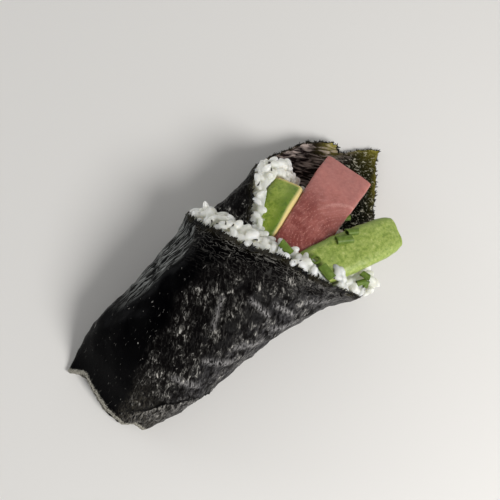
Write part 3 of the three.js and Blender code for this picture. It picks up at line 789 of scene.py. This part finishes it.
def bar(path, corner, along, around, rounding, blunt):
    """Points of a bar along a path, closed at both ends. rounding is the radius of its free
    end's edge and blunt how much of the end's width is drawn in."""
    rows = [[k, *row] for k, row in enumerate(path)]
    last = len(path) - 1
    length = sum(math.dist(path[k][:3], path[k + 1][:3]) for k in range(last))
    angles = section_angles(path[last // 2][3], path[last // 2][4], corner, around)
    w, h = squared(np.cos(angles), corner), squared(np.sin(angles), corner)
    stop = last * (1 - rounding / length)
    steps = [(last * k / along, 0.0) for k in range(along) if last * k / along < stop]
    steps += [(last - (last - stop) * (1 - math.sin(q)), 1 - math.cos(q)) for q in np.linspace(0, 1.45, 7)]

    def middle(t):
        return np.array([float(read_smooth(rows, t, k)) for k in (1, 2, 3)])

    rings, tables = [], []
    for t, shrink in steps:
        way = unit(middle(t + 0.15) - middle(t - 0.15))
        across = unit(np.cross((0, 0, 1), way))
        up = np.cross(way, across)
        lean = math.radians(float(read_smooth(rows, t, 6)))
        across, up = (
            across * math.cos(lean) + up * math.sin(lean),
            up * math.cos(lean) - across * math.sin(lean),
        )
        drawn = shrink * rounding
        half_width = float(read_smooth(rows, t, 4)) / 2 - drawn * blunt
        half_height = float(read_smooth(rows, t, 5)) / 2 - drawn
        rings.append(middle(t) + np.outer(w * half_width, across) + np.outer(h * half_height, up))
        tables.append(np.stack([np.full(around, t / last), w], 1))
    end, end_table = rings[-1], tables[-1]
    final = end.mean(0)
    for keep in (0.82, 0.6, 0.38, 0.16):
        rings.append(final + (end - final) * keep)
        tables.append(end_table * [1, keep])
    points = np.concatenate([*rings, [rings[0].mean(0)], [final]])
    table = np.concatenate([*tables, [[0, 0]], [[1, 0]]])
    ends = end_faces(len(points) - 2, (len(rings) - 1) * around, around)
    return points, tube_faces(len(rings), around) + ends, table


def vertex_places(mesh):
    place = np.empty(len(mesh.vertices) * 3, np.float32)
    mesh.vertices.foreach_get("co", place)
    return place.reshape(-1, 3)


def ripple(piece, amount):
    """Moves each point of a piece along its normal by that many millimetres."""
    mesh = piece.data
    normal = np.empty(len(mesh.vertices) * 3, np.float32)
    mesh.vertex_normals.foreach_get("vector", normal)
    place = vertex_places(mesh) + normal.reshape(-1, 3) * np.asarray(amount)[:, None] / 1000
    mesh.vertices.foreach_set("co", place.ravel().astype(np.float32))
    mesh.update()


def soft_bar(name, path, lumps, **shape):
    """A bar as a piece of its own. lumps are the height, size and seed of each noise on it."""
    points, faces, table = bar(path, **shape)
    made = new_piece(name, points, faces, table, {"along": table[:, 0], "side": table[:, 1]}, 60)
    ripple(made, sum(height * rough(points, size, seed) for height, size, seed in lumps))
    return made


tuna = soft_bar(
    "tuna_block", TUNA_PATH, [(0.16, 7, 21), (0.06, 2.2, 22)],
    corner=0.2, along=120, around=132, rounding=0.7, blunt=1,
)
tuna_flesh, tree = new_material("raw tuna")
place = object_place(tree)
along = attribute(tree, "along")
fan_middle = tuple(to_frame(FAN_MIDDLE).tolist())
from_fan = wire(tree, "ShaderNodeVectorMath", {0: place, 1: fan_middle}, operation="DISTANCE")
from_fan = from_fan.outputs["Value"]
cloud = cloud_field(place, 130.0, 2.0, 0.5)
mottle = cloud_field(place, 430.0, 4.0, 0.65)
grain = cloud_field(place, 1500.0, 2.0, 0.6)
ring = calculate("ADD", multiply(from_fan, 2 * math.pi / (GRAIN_STEP / 1000)), multiply(cloud, 20.0))
rows = remap(calculate("SINE", ring), 0.0, 1.0, 0.1, 1.0)
# Darker near part and lighter far part: partly the fish's own tone, partly painted shade under the roll's
# mouth
far_part = remap(along, 0.5, 0.66)
flecks = multiply(remap(grain, 0.48, 0.62), rows, remap(far_part, 0.0, 1.0, 0.5, 0.16))
off_bend = calculate("ABSOLUTE", calculate("SUBTRACT", from_fan, BEND_FROM_FAN / 1000))
# Painted highlight along the bend
bend_highlight = multiply(
    remap(off_bend, 0.0, BEND_HALF / 1000, 0.75, 0.0),
    remap(along, 0.5, 0.6),
    remap(grain, 0.35, 0.6, 0.3, 1.0),
)
colour = paint(
    shade(128, 62, 56),
    (far_part, shade(172, 106, 99)),
    (remap(cloud, 0.4, 0.66, 0.0, 0.6), shade(184, 114, 105)),
    (remap(mottle, 0.5, 0.68, 0.0, 0.3), shade(198, 134, 126)),
    (remap(mottle, 0.48, 0.34, 0.0, 0.22), shade(116, 50, 46)),
    (flecks, shade(206, 152, 142)),
    (bend_highlight, shade(212, 160, 152)),
)
close_material(
    tree,
    Base_Color=colour,
    Roughness=remap(cloud, 0.3, 0.7, 0.3, 0.45),
    Normal=relief(grain, 0.25, 0.0003),
    Subsurface_Weight=0.35,
    Subsurface_Radius=(1.0, 0.35, 0.25),
    Subsurface_Scale=0.0025,
)
tuna.data.materials.append(tuna_flesh)
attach(tuna, "root")
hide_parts("tuna_slice")

# Back avocado slice.
# A slice of ripe avocado, cut with a knife and pushed in on edge between the rice and the tuna.
# Its flesh is deep green under the peeled skin and turns pale yellow towards the stone.
# x, y, z of the middle, width, thickness, tilt
BACK_AVOCADO_PATH = [
    [6, 1.6, 28.5, 5.8, 12.0, -8],
    [16, 3.2, 28.8, 7.6, 13.0, -8],
    [28, 7.3, 27.8, 10.6, 13.6, -10],
    [38, 11.9, 25.4, 13.4, 13.6, -12],
    [46.2, 14.6, 21.6, 13.4, 12.6, -14],
]


def avocado_flesh(name, near_skin, flesh, light, pale, skin, paleness):
    """Avocado flesh. skin and paleness give its share under the skin and at the stone."""
    material, tree = new_material(name)
    place = object_place(tree)
    mottle = cloud_field(place, 560.0, 5.0, 0.72)
    cloud = cloud_field(place, 120.0, 2.0, 0.5)
    colour = paint(
        flesh,
        (remap(mottle, 0.44, 0.64, 0.0, 0.95), light),
        (remap(mottle, 0.46, 0.36, 0.0, 0.5), near_skin),
        (remap(cloud, 0.52, 0.74, 0.0, 0.4), near_skin),
        (skin(tree, mottle), near_skin),
        (paleness(tree, mottle), pale),
    )
    close_material(
        tree,
        Base_Color=colour,
        Roughness=remap(cloud, 0.3, 0.7, 0.36, 0.5),
        Normal=relief(mottle, 0.35, 0.0005),
        Subsurface_Weight=0.3,
        Subsurface_Radius=(0.8, 1.0, 0.3),
        Subsurface_Scale=0.002,
    )
    return material


back_avocado = soft_bar(
    "avocado_back_slice", BACK_AVOCADO_PATH, [(0.3, 6, 31), (0.1, 2.5, 32)],
    corner=0.42, along=70, around=96, rounding=1.0, blunt=1,
)
back_flesh = avocado_flesh(
    "avocado under its skin",
    near_skin=shade(82, 110, 26),
    flesh=shade(132, 155, 48),
    light=shade(158, 174, 74),
    pale=shade(220, 200, 134),
    skin=lambda tree, mottle: multiply(
        remap(attribute(tree, "side"), -0.1, -0.6), remap(mottle, 0.3, 0.6)
    ),
    paleness=lambda tree, mottle: largest(
        remap(attribute(tree, "side"), -0.74, -0.9), remap(attribute(tree, "along"), 0.95, 0.985)
    ),
)
back_avocado.data.materials.append(back_flesh)
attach(back_avocado, "root")
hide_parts("avocado_back")

# Front avocado slice.
# A longer slice of ripe avocado, laid flat beside the tuna with its foot in the rice and its
# round end free. The knife leaves a soft, slightly wavy face, mottled light and dark green.
# x, y, z of the middle, width, thickness, tilt
FRONT_AVOCADO_PATH = [
    [4, -9.5, 36.0, 10.0, 5.2, 4],
    [16, -13.0, 35.0, 14.0, 7.0, 2],
    [28, -16.6, 33.2, 16.4, 8.0, 0],
    [42, -20.8, 30.2, 17.2, 8.2, -2],
    [54, -24.4, 26.6, 17.0, 8.0, -3],
    [63, -27.0, 23.4, 15.6, 7.4, -3],
    [67.6, -28.6, 21.6, 11.6, 6.2, -3],
]
front_avocado = soft_bar(
    "avocado_front_slice", FRONT_AVOCADO_PATH, [(0.38, 7, 33), (0.16, 2.8, 34)],
    corner=0.66, along=110, around=96, rounding=3.0, blunt=1.4,
)
front_flesh = avocado_flesh(
    "avocado cut face",
    near_skin=shade(96, 122, 40),
    flesh=shade(138, 158, 70),
    light=shade(170, 184, 102),
    pale=shade(196, 200, 130),
    skin=lambda tree, mottle: multiply(
        remap(attribute(tree, "side"), 0.7, 0.95), remap(mottle, 0.35, 0.6)
    ),
    paleness=lambda tree, mottle: remap(mottle, 0.6, 0.7, 0.0, 0.7),
)
front_avocado.data.materials.append(front_flesh)
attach(front_avocado, "root")
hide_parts("avocado_front")

# Snipped chives.
# Short pieces of raw chive, thin hollow green tubes cut across with a knife. They lie on the
# rice, the front avocado slice and the tuna, held by the wet surface.
# middle x, y, z, direction x, y, z, length, radius
CHIVES = [
    [26.3, -4.4, 40.4, -0.02, -1, -0.04, 6.2, 1.7],
    [32.2, -22.2, 38.4, -0.05, -1, -0.1, 6.6, 2.0],
    [41.4, -34.2, 26.2, 0.9, -0.44, -0.3, 4.4, 1.3],
    [45.2, -33.2, 23.4, 0.28, -0.95, -0.1, 3.8, 1.4],
    [43.0, -36.0, 22.4, 0.6, 0.3, 0.2, 2.8, 1.2],
    [47.0, -17.0, 33.9, 0.82, -0.57, -0.2, 6.6, 1.7],
    [52.0, -16.8, 32.0, 0.8, -0.5, -0.3, 5.0, 1.5],
    [32.2, -15.7, 38.3, 0.12, 0.1, 1, 1.8, 1.9],
    [53.2, -8.8, 25.9, 0.8, 0.5, -0.3, 2.2, 1.0],
    [55.6, -10.4, 24.0, 0.8, -0.5, -0.3, 3.2, 1.2],
]
CHIVE_WALL = 0.5
CHIVE_SIDES = 20
CHIVE_CUTS = (-0.5, -0.25, 0, 0.25, 0.5)
SLANT = 0.35
DENT = 0.07
FLATNESS = 0.94
# from there on a chive's direction counts as upright, so that its hollow inside shows
UPRIGHT = 0.9


def chive_line(row):
    """Middle, direction, length and radius of a chive."""
    return np.array(row[:3]), unit(np.array(row[3:6])), row[6], row[7]


def chive_tubes(rows):
    points, faces, tints = [], [], []
    chive_random = np.random.default_rng(77)
    for row in rows:
        middle, way, length, radius = chive_line(row)
        side = unit(np.cross(way, (0.3, 0.2, 1) if abs(way[2]) < UPRIGHT else (1, 0, 0)))
        up = np.cross(way, side)
        slant = chive_random.uniform(-SLANT, SLANT, 2)
        inner_tint = 0.9 if abs(way[2]) > UPRIGHT else 0.2
        first = len(points)
        outer_wall = [(s, 1.0) for s in CHIVE_CUTS]
        inner_wall = [(s, 1 - CHIVE_WALL / radius) for s in CHIVE_CUTS[::-1]]
        for s, reach in outer_wall + inner_wall:
            for a in 2 * math.pi * np.arange(CHIVE_SIDES) / CHIVE_SIDES:
                r = radius * reach * (1 + DENT * math.sin(2 * a + slant[0] * 9))
                cut = (slant[0] if s < 0 else slant[1]) * abs(s) * 2 * radius * math.cos(a)
                p = middle + way * (s * length + cut)
                points.append(p + side * math.cos(a) * r + up * math.sin(a) * r * FLATNESS)
                tints.append(chive_random.uniform(-0.05, 0.05) + (inner_tint if reach < 1 else 0.6))
        faces += tube_faces(2 * len(CHIVE_CUTS), CHIVE_SIDES, first, closed=True)
    return points, faces, tints


points, faces, tints = chive_tubes(CHIVES)
chives = new_piece("snipped_chives", points, faces, None, {"tint": tints}, 50)
chive_skin, tree = new_material("chive skin")
streak = cloud_field(object_place(tree), 700.0, 2.0, 0.6)
colour = paint(
    shade(46, 66, 14),
    (attribute(tree, "tint"), shade(106, 132, 46)),
    (remap(streak, 0.45, 0.75, 0.0, 0.4), shade(140, 160, 84)),
)
close_material(
    tree,
    Base_Color=colour,
    Roughness=0.5,
    Normal=relief(streak, 0.2, 0.0002),
    Specular_IOR_Level=0.3,
    Subsurface_Weight=0.15,
    Subsurface_Radius=(0.5, 1.0, 0.3),
    Subsurface_Scale=0.001,
)
chives.data.materials.append(chive_skin)
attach(chives, "root")
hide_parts("rice", "avocado_front", "tuna_slice")

# Rice core.
# Cooked short-grain sushi rice, pressed into one lumpy mass inside the wrap. Its grains stick
# together by their own starch. It fills the roll behind the grains that show.
CORE_STEP = 0.9
CORE_SHRINK = 1.1
SAME_PLACE = 1e-6
work = bmesh.new()
work.from_mesh(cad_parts["rice"].data)
bmesh.ops.remove_doubles(work, verts=work.verts, dist=SAME_PLACE)
core_mesh = bpy.data.meshes.new("rice_core")
work.to_mesh(core_mesh)
work.free()


def skinned(name, mesh, step, passes, share=1.0):
    """Wraps a closed skin of small faces round a mesh, softens it and thins it to a share."""
    piece = link_object(name, mesh)
    skin = piece.modifiers.new("skin", "REMESH")
    skin.mode = "VOXEL"
    skin.voxel_size = step / 1000
    soften = piece.modifiers.new("soften", "SMOOTH")
    soften.factor = 0.5
    soften.iterations = passes
    if share < 1:
        thin = piece.modifiers.new("thin", "DECIMATE")
        thin.ratio = share
    return bake_modifiers(name, piece)


def in_millimetres(mesh):
    return vertex_places(mesh) * 1000 + MIDDLE


def cooked_rice(name):
    material, tree = new_material(name)
    place = object_place(tree)
    fine = cloud_field(place, 900.0, 2.0, 0.5)
    milky = cloud_field(place, 260.0, 1.0, 0.5)
    colour = paint(
        shade(219, 219, 208),
        (attribute(tree, "tint"), shade(240, 240, 232)),
        (remap(milky, 0.4, 0.7, 0.0, 0.7), shade(207, 209, 197)),
    )
    close_material(
        tree,
        Base_Color=colour,
        Roughness=remap(fine, 0.3, 0.7, 0.28, 0.42),
        Normal=relief(fine, 0.18, 0.0002),
        Subsurface_Weight=1.0,
        Subsurface_Radius=(1.0, 0.95, 0.85),
        Subsurface_Scale=0.009,
    )
    return material


core_mesh = skinned("rice_core", core_mesh, CORE_STEP, passes=5)
core = link_object("rice_core", core_mesh)
ripple(core, -CORE_SHRINK + 0.25 * rough(in_millimetres(core_mesh), 2.6, 41))
core_mesh.shade_smooth()
rice_finish = cooked_rice("cooked rice")
core.data.materials.append(rice_finish)
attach(core, "root")
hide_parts("rice")

# Rice grains.
# The glossy grains that show along the sheet's edge and round the fillings. They lie on the
# core and stick to it and to each other, so they are one skin with the core's front part.
GRAIN_LENGTH = 5.8
GRAIN_WIDTH = 3.1
GRAIN_SIDES = 8
GRAIN_GAP = 3.0
UPPER_GAP = 5.0
MERGE_STEP = 0.36
MERGED_SHARE = 0.5
STEEPEST = 0.75
TRIES = 14000
SEARCH_REACH = 12
HIGH_ABOVE = 60
HALF_GRAIN = 0.42
GRAIN_SIZES = (0.78, 1.08)
LONE_SIZES = (0.68, 0.88)
# how far past a chive, how far above and below it and how deep its hollow in the rice is
HOLLOW_ROOM = 0.2
HOLLOW_REACH = 1.6
HOLLOW_DEPTH = 0.55
# station x of the plane where the grains' skin ends and the plain core begins
CORE_CUT = 4.0
# least room of a grain's middle and of its ends from the fillings, the sheet and the chives
FILLING_ROOM = (0.95, 0.3)
SHEET_ROOM = (1.15, 0.55)
CHIVE_ROOM = (0.9, 0.3)
# middle x, y, z of single grains at the corners of the heap
LONE_GRAINS = [
    [24.0, 9.9, 35.0], [24.9, 8.8, 35.3], [23.4, 7.6, 36.2], [24.2, 6.0, 37.4], [22.6, 10.6, 35.0],
    [51.5, 24.4, 20.0], [53.4, 25.6, 18.2], [54.6, 23.8, 17.4], [53.0, 22.4, 18.6], [51.6, 26.6, 19.0],
    [29.8, -12.4, 38.0], [30.6, -17.2, 39.4], [30.2, -14.6, 38.8],
    [36.6, -23.8, 35.8], [35.4, -25.2, 35.8], [37.4, -26.0, 35.0], [34.2, -26.2, 35.8],
    [36.4, -28.0, 33.4], [34.6, -28.8, 33.2], [37.4, -30.6, 29.8], [39.6, -32.2, 25.6],
    [36.4, 22.9, 32.4], [34.2, 19.4, 33.6], [31.2, 17.8, 35.2], [30.2, 14.0, 35.6], [27.2, 13.8, 36.6],
    [26.4, 10.6, 36.6], [40.0, 25.4, 29.9], [38.3, 25.9, 30.3], [40.9, 28.6, 25.5], [42.3, 27.5, 28.5],
    [44.2, 26.4, 30.2], [45.4, 23.6, 28.9], [43.1, 23.0, 30.3], [47.8, 22.5, 25.8], [48.7, 26.1, 25.3],
    [51.0, 24.7, 23.0],
]
# winding angle, farthest station x of a grain's middle on the band along the seaweed's edge
BAND_END = [
    [-350, 12.6], [-336, 16.0], [-322, 18.2], [-300, 19.8], [-270, 23.8], [-249, 28.6], [-228, 31.6],
    [-208, 36.0], [-183, 43.0],
]
rice_random = np.random.default_rng(4127)


def winding_of(points):
    """Winding angle of points, counted on the outer turn."""
    left, right, height = (read_smooth(STATIONS, points[:, 0], k) for k in (1, 2, 3))
    dy = (points[:, 1] - (left + right) / 2) / ((left - right) / 2)
    dz = (points[:, 2] - height * WIDEST) / (height * 0.5)
    degrees = np.degrees(np.arctan2(dz, dy))
    return np.where(degrees > OUTER_FROM, degrees - 360, degrees)


def tree_of(piece):
    """A search tree of a piece's faces in millimetres of the roll."""
    corners = in_millimetres(piece.data).tolist()
    return BVHTree.FromPolygons(corners, [tuple(face.vertices) for face in piece.data.polygons])


def clearance(search, point):
    """Distance of a point from a closed piece, negative inside it."""
    near, normal, _, distance = search.find_nearest(Vector(point), SEARCH_REACH)
    if near is None:
        return SEARCH_REACH
    return distance if (Vector(point) - near).dot(normal) > 0 else -distance


filling_trees = [tree_of(piece) for piece in (tuna, back_avocado, front_avocado)]
sheet_tree = tree_of(wrap)


def room_in_fillings(point):
    return min(clearance(search, point) for search in filling_trees)


def room_in_sheet(point):
    return sheet_tree.find_nearest(Vector(point))[3]


def room_in_chives(point):
    """Distance of a point from the nearest chive's skin."""
    rooms = []
    for row in CHIVES:
        middle, way, length, radius = chive_line(row)
        run = np.clip((point - middle) @ way, -length / 2, length / 2)
        rooms.append(np.linalg.norm(point - middle - way * run) - radius)
    return min(rooms)


ROOMS = [(room_in_fillings, FILLING_ROOM), (room_in_sheet, SHEET_ROOM), (room_in_chives, CHIVE_ROOM)]


def beyond_section(point):
    """True outside the section that the outer turn has at that station."""
    left, right, height, power = (float(read_smooth(STATIONS, point[0], k)) for k in (1, 2, 3, 4))
    across = abs(point[1] - (left + right) / 2) / ((left - right) / 2 + 0.4)
    centre = height * WIDEST
    reach = height - centre if point[2] > centre else centre + SINK
    return across ** (2 / power) + (abs(point[2] - centre) / (reach + 0.4)) ** (2 / power) > 1


def place_grains(surface, gap, most, lift, lean, band):
    """Chooses places, turns and sizes for the grains that show, clear of fillings and sheet."""
    mesh = surface.data
    mesh.calc_loop_triangles()
    place = in_millimetres(mesh)
    corner = np.empty(len(mesh.loop_triangles) * 3, np.int32)
    mesh.loop_triangles.foreach_get("vertices", corner)
    a, b, c = (place[corner.reshape(-1, 3)[:, k]] for k in range(3))
    normal = np.cross(b - a, c - a)
    area = np.linalg.norm(normal, axis=1)
    normal = normal / np.maximum(area, 1e-9)[:, None]
    middle = (a + b + c) / 3
    winding = winding_of(middle)
    lower = (winding < -380) | (winding > -180)
    edge_x = read_straight(FRONT_EDGE, winding)
    in_mouth = np.where(lower, middle[:, 0] > 36, middle[:, 0] > edge_x - 0.4)
    on_band = lower | (middle[:, 2] < 24) | (middle[:, 0] < read_straight(BAND_END, winding))
    area = area * (in_mouth & on_band & (middle[:, 2] > 3) & (normal[:, 2] > -0.55))
    if band:
        area = area * ((middle[:, 0] < edge_x + band) | lower)
    picks = rice_random.choice(len(area), TRIES, p=area / area.sum())
    u, v = rice_random.random(TRIES), rice_random.random(TRIES)
    over = u + v > 1
    u, v = np.where(over, 1 - u, u), np.where(over, 1 - v, v)
    kept, rows = np.empty((0, 3)), []
    for k, pick in enumerate(picks):
        out = normal[pick]
        spot = a[pick] + (b - a)[pick] * u[k] + (c - a)[pick] * v[k]
        spot = spot + out * (lift + rice_random.normal(0, 0.25))
        if len(kept) and np.min(((kept - spot) ** 2).sum(1)) < gap**2:
            continue
        way = rice_random.normal(size=3)
        way = unit(way - out * (way @ out) * (1 - lean * rice_random.random()))
        size = rice_random.uniform(*GRAIN_SIZES)
        reach = way * GRAIN_LENGTH * size * HALF_GRAIN
        ends = [spot + reach, spot - reach]
        if any(room(spot) < middle_room for room, (middle_room, _) in ROOMS):
            continue
        if any(room(end) < end_room for room, (_, end_room) in ROOMS for end in ends):
            continue
        if any(beyond_section(end) for end in (spot, *ends)):
            continue
        side = unit(np.cross(out, way))
        kept = np.vstack([kept, spot])
        rows.append((spot, way, side, np.cross(way, side), size))
        if len(rows) >= most:
            break
    return rows


lower_grains = place_grains(core, GRAIN_GAP, most=1500, lift=0.9, lean=0.6, band=0)
upper_grains = place_grains(core, UPPER_GAP, most=90, lift=1.8, lean=0.6, band=7)
upper_grains = [row for row in upper_grains if abs(row[1][2]) < STEEPEST]


def top_of(search, x, y):
    """The highest point of a piece at x and y, and its normal."""
    return search.ray_cast(Vector((x, y, HIGH_ABOVE)), Vector((0, 0, -1)))[:2]


core_tree = tree_of(core)
for x, y, z in LONE_GRAINS:
    top = top_of(core_tree, x, y)[0]
    spot = [x, y, z if top is None else max(z, top.z + 0.7)]
    way = unit(rice_random.normal(size=3) * [1, 1, 0.35])
    side = unit(np.cross((0, 0, 1), way))
    size = rice_random.uniform(*LONE_SIZES)
    upper_grains.append((np.array(spot), way, side, np.cross(way, side), size))
every_grain = lower_grains + upper_grains


def grain_shape(name, bend, plump):
    """One cooked grain, 1 long: a plump oval with one blunt and one slightly pointed end."""
    rings = [(-0.46, 0.4), (-0.34, 0.78), (-0.12, 1.0), (0.14, 0.98), (0.35, 0.74), (0.47, 0.34)]
    width = GRAIN_WIDTH / GRAIN_LENGTH / 2
    points = []
    for x, r in rings:
        for a in 2 * math.pi * np.arange(GRAIN_SIDES) / GRAIN_SIDES:
            groove = 1 - 0.08 * max(0, math.cos(a)) ** 4
            y = math.cos(a) * r * width * 1.08 * groove * plump + bend * (x * x - 0.1)
            points.append((x, y, math.sin(a) * r * width * 0.9 * plump))
    points += [(-0.5, bend * 0.15, 0), (0.5, bend * 0.15, 0)]
    ends = end_faces(len(points) - 2, (len(rings) - 1) * GRAIN_SIDES, GRAIN_SIDES)
    made = shape_from(name, points, tube_faces(len(rings), GRAIN_SIDES) + ends)
    face_outwards(made.data)
    made.data.shade_smooth()
    return made


grain_kinds = [
    grain_shape("grain_straight", bend=0.0, plump=1.0),
    grain_shape("grain_bent", bend=0.14, plump=0.96),
    grain_shape("grain_plump", bend=-0.08, plump=1.1),
]
grown = lay_pieces(
    "rice_grains", every_grain, grain_kinds, length=GRAIN_LENGTH, seed=3, finish=rice_finish
)


def part_of_core(front):
    """The core on one side of the cut plane, closed there, to work on."""
    work = bmesh.new()
    work.from_mesh(core_mesh)
    everything = work.verts[:] + work.edges[:] + work.faces[:]
    plane = {"plane_co": to_frame([CORE_CUT, 0, 0]).tolist(), "plane_no": (1, 0, 0)}
    bmesh.ops.bisect_plane(work, geom=everything, clear_inner=front, clear_outer=not front, **plane)
    bmesh.ops.holes_fill(work, edges=[edge for edge in work.edges if edge.is_boundary])
    return work


work = part_of_core(front=True)
work.from_mesh(grown.data)
merged_mesh = bpy.data.meshes.new("rice_grains")
work.to_mesh(merged_mesh)
work.free()
bpy.data.objects.remove(grown)
merged_mesh = skinned("rice_grains", merged_mesh, MERGE_STEP, passes=1, share=MERGED_SHARE)
merged_mesh.validate()
work = part_of_core(front=False)
work.to_mesh(core_mesh)
work.free()
core_mesh.update()

# The chives press hollows into the rice
place = in_millimetres(merged_mesh)
for row in CHIVES:
    middle, way, length, radius = chive_line(row)
    run = np.clip((place - middle) @ way, -length / 2 - HOLLOW_ROOM, length / 2 + HOLLOW_ROOM)
    axis = middle + way * run[:, None]
    aside = np.linalg.norm((place - axis)[:, :2], axis=1)
    height = np.abs(place[:, 2] - axis[:, 2])
    over = (aside < radius + HOLLOW_ROOM) & (height < radius + HOLLOW_REACH)
    place[over, 2] = np.minimum(place[over, 2], axis[over, 2] - HOLLOW_DEPTH * radius)
merged_mesh.vertices.foreach_set("co", to_frame(place).astype(np.float32).ravel())
grain_search = kdtree.KDTree(len(every_grain))
for k, row in enumerate(every_grain):
    grain_search.insert(row[0], k)
grain_search.balance()
own_tint = rice_random.random(len(every_grain))
tints = [own_tint[grain_search.find(point)[1]] for point in place]
merged_mesh.attributes.new("tint", "FLOAT", "POINT").data.foreach_set("value", tints)
merged_mesh.shade_smooth()
merged_mesh.materials.clear()
merged_mesh.materials.append(rice_finish)
merged = link_object("rice_grains", merged_mesh)
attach(merged, "root")
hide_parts("rice")

# Crumbs of seaweed.
# A few dark scraps that broke off the toasted sheet while it was rolled, stuck to the wet rice.
# x and y of each
CRUMBS = [
    [13.0, 21.0], [11.8, 23.3], [16.6, 16.1], [19.6, 5.6], [22.4, 0.4], [28.8, -20.9], [26.8, -12.2],
    [34.2, -32.4], [33.0, -26.0], [45.4, 24.8], [36.6, 23.0], [15.0, 18.4],
]
CRUMB_SIZES = (1.2, 2.2)
crumb_random = np.random.default_rng(61)
rice_tree = tree_of(merged)
crumb_rows = []
for x, y in CRUMBS:
    spot, out = top_of(rice_tree, x, y)
    if spot is None:
        continue
    out = np.array(out)
    way = unit(np.cross(out, crumb_random.normal(size=3)))
    side = np.cross(out, way)
    size = crumb_random.uniform(*CRUMB_SIZES)
    crumb_rows.append((np.array(spot) + out * 0.05, way, side, out, size))
crumb_kinds = [strand("crumb_straight", 0.0), strand("crumb_left", 0.3), strand("crumb_right", -0.3)]
crumbs = lay_pieces(
    "seaweed_crumbs", crumb_rows, crumb_kinds, length=1.0, seed=9, finish=strand_finish
)
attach(crumbs, "root")
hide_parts("rice")
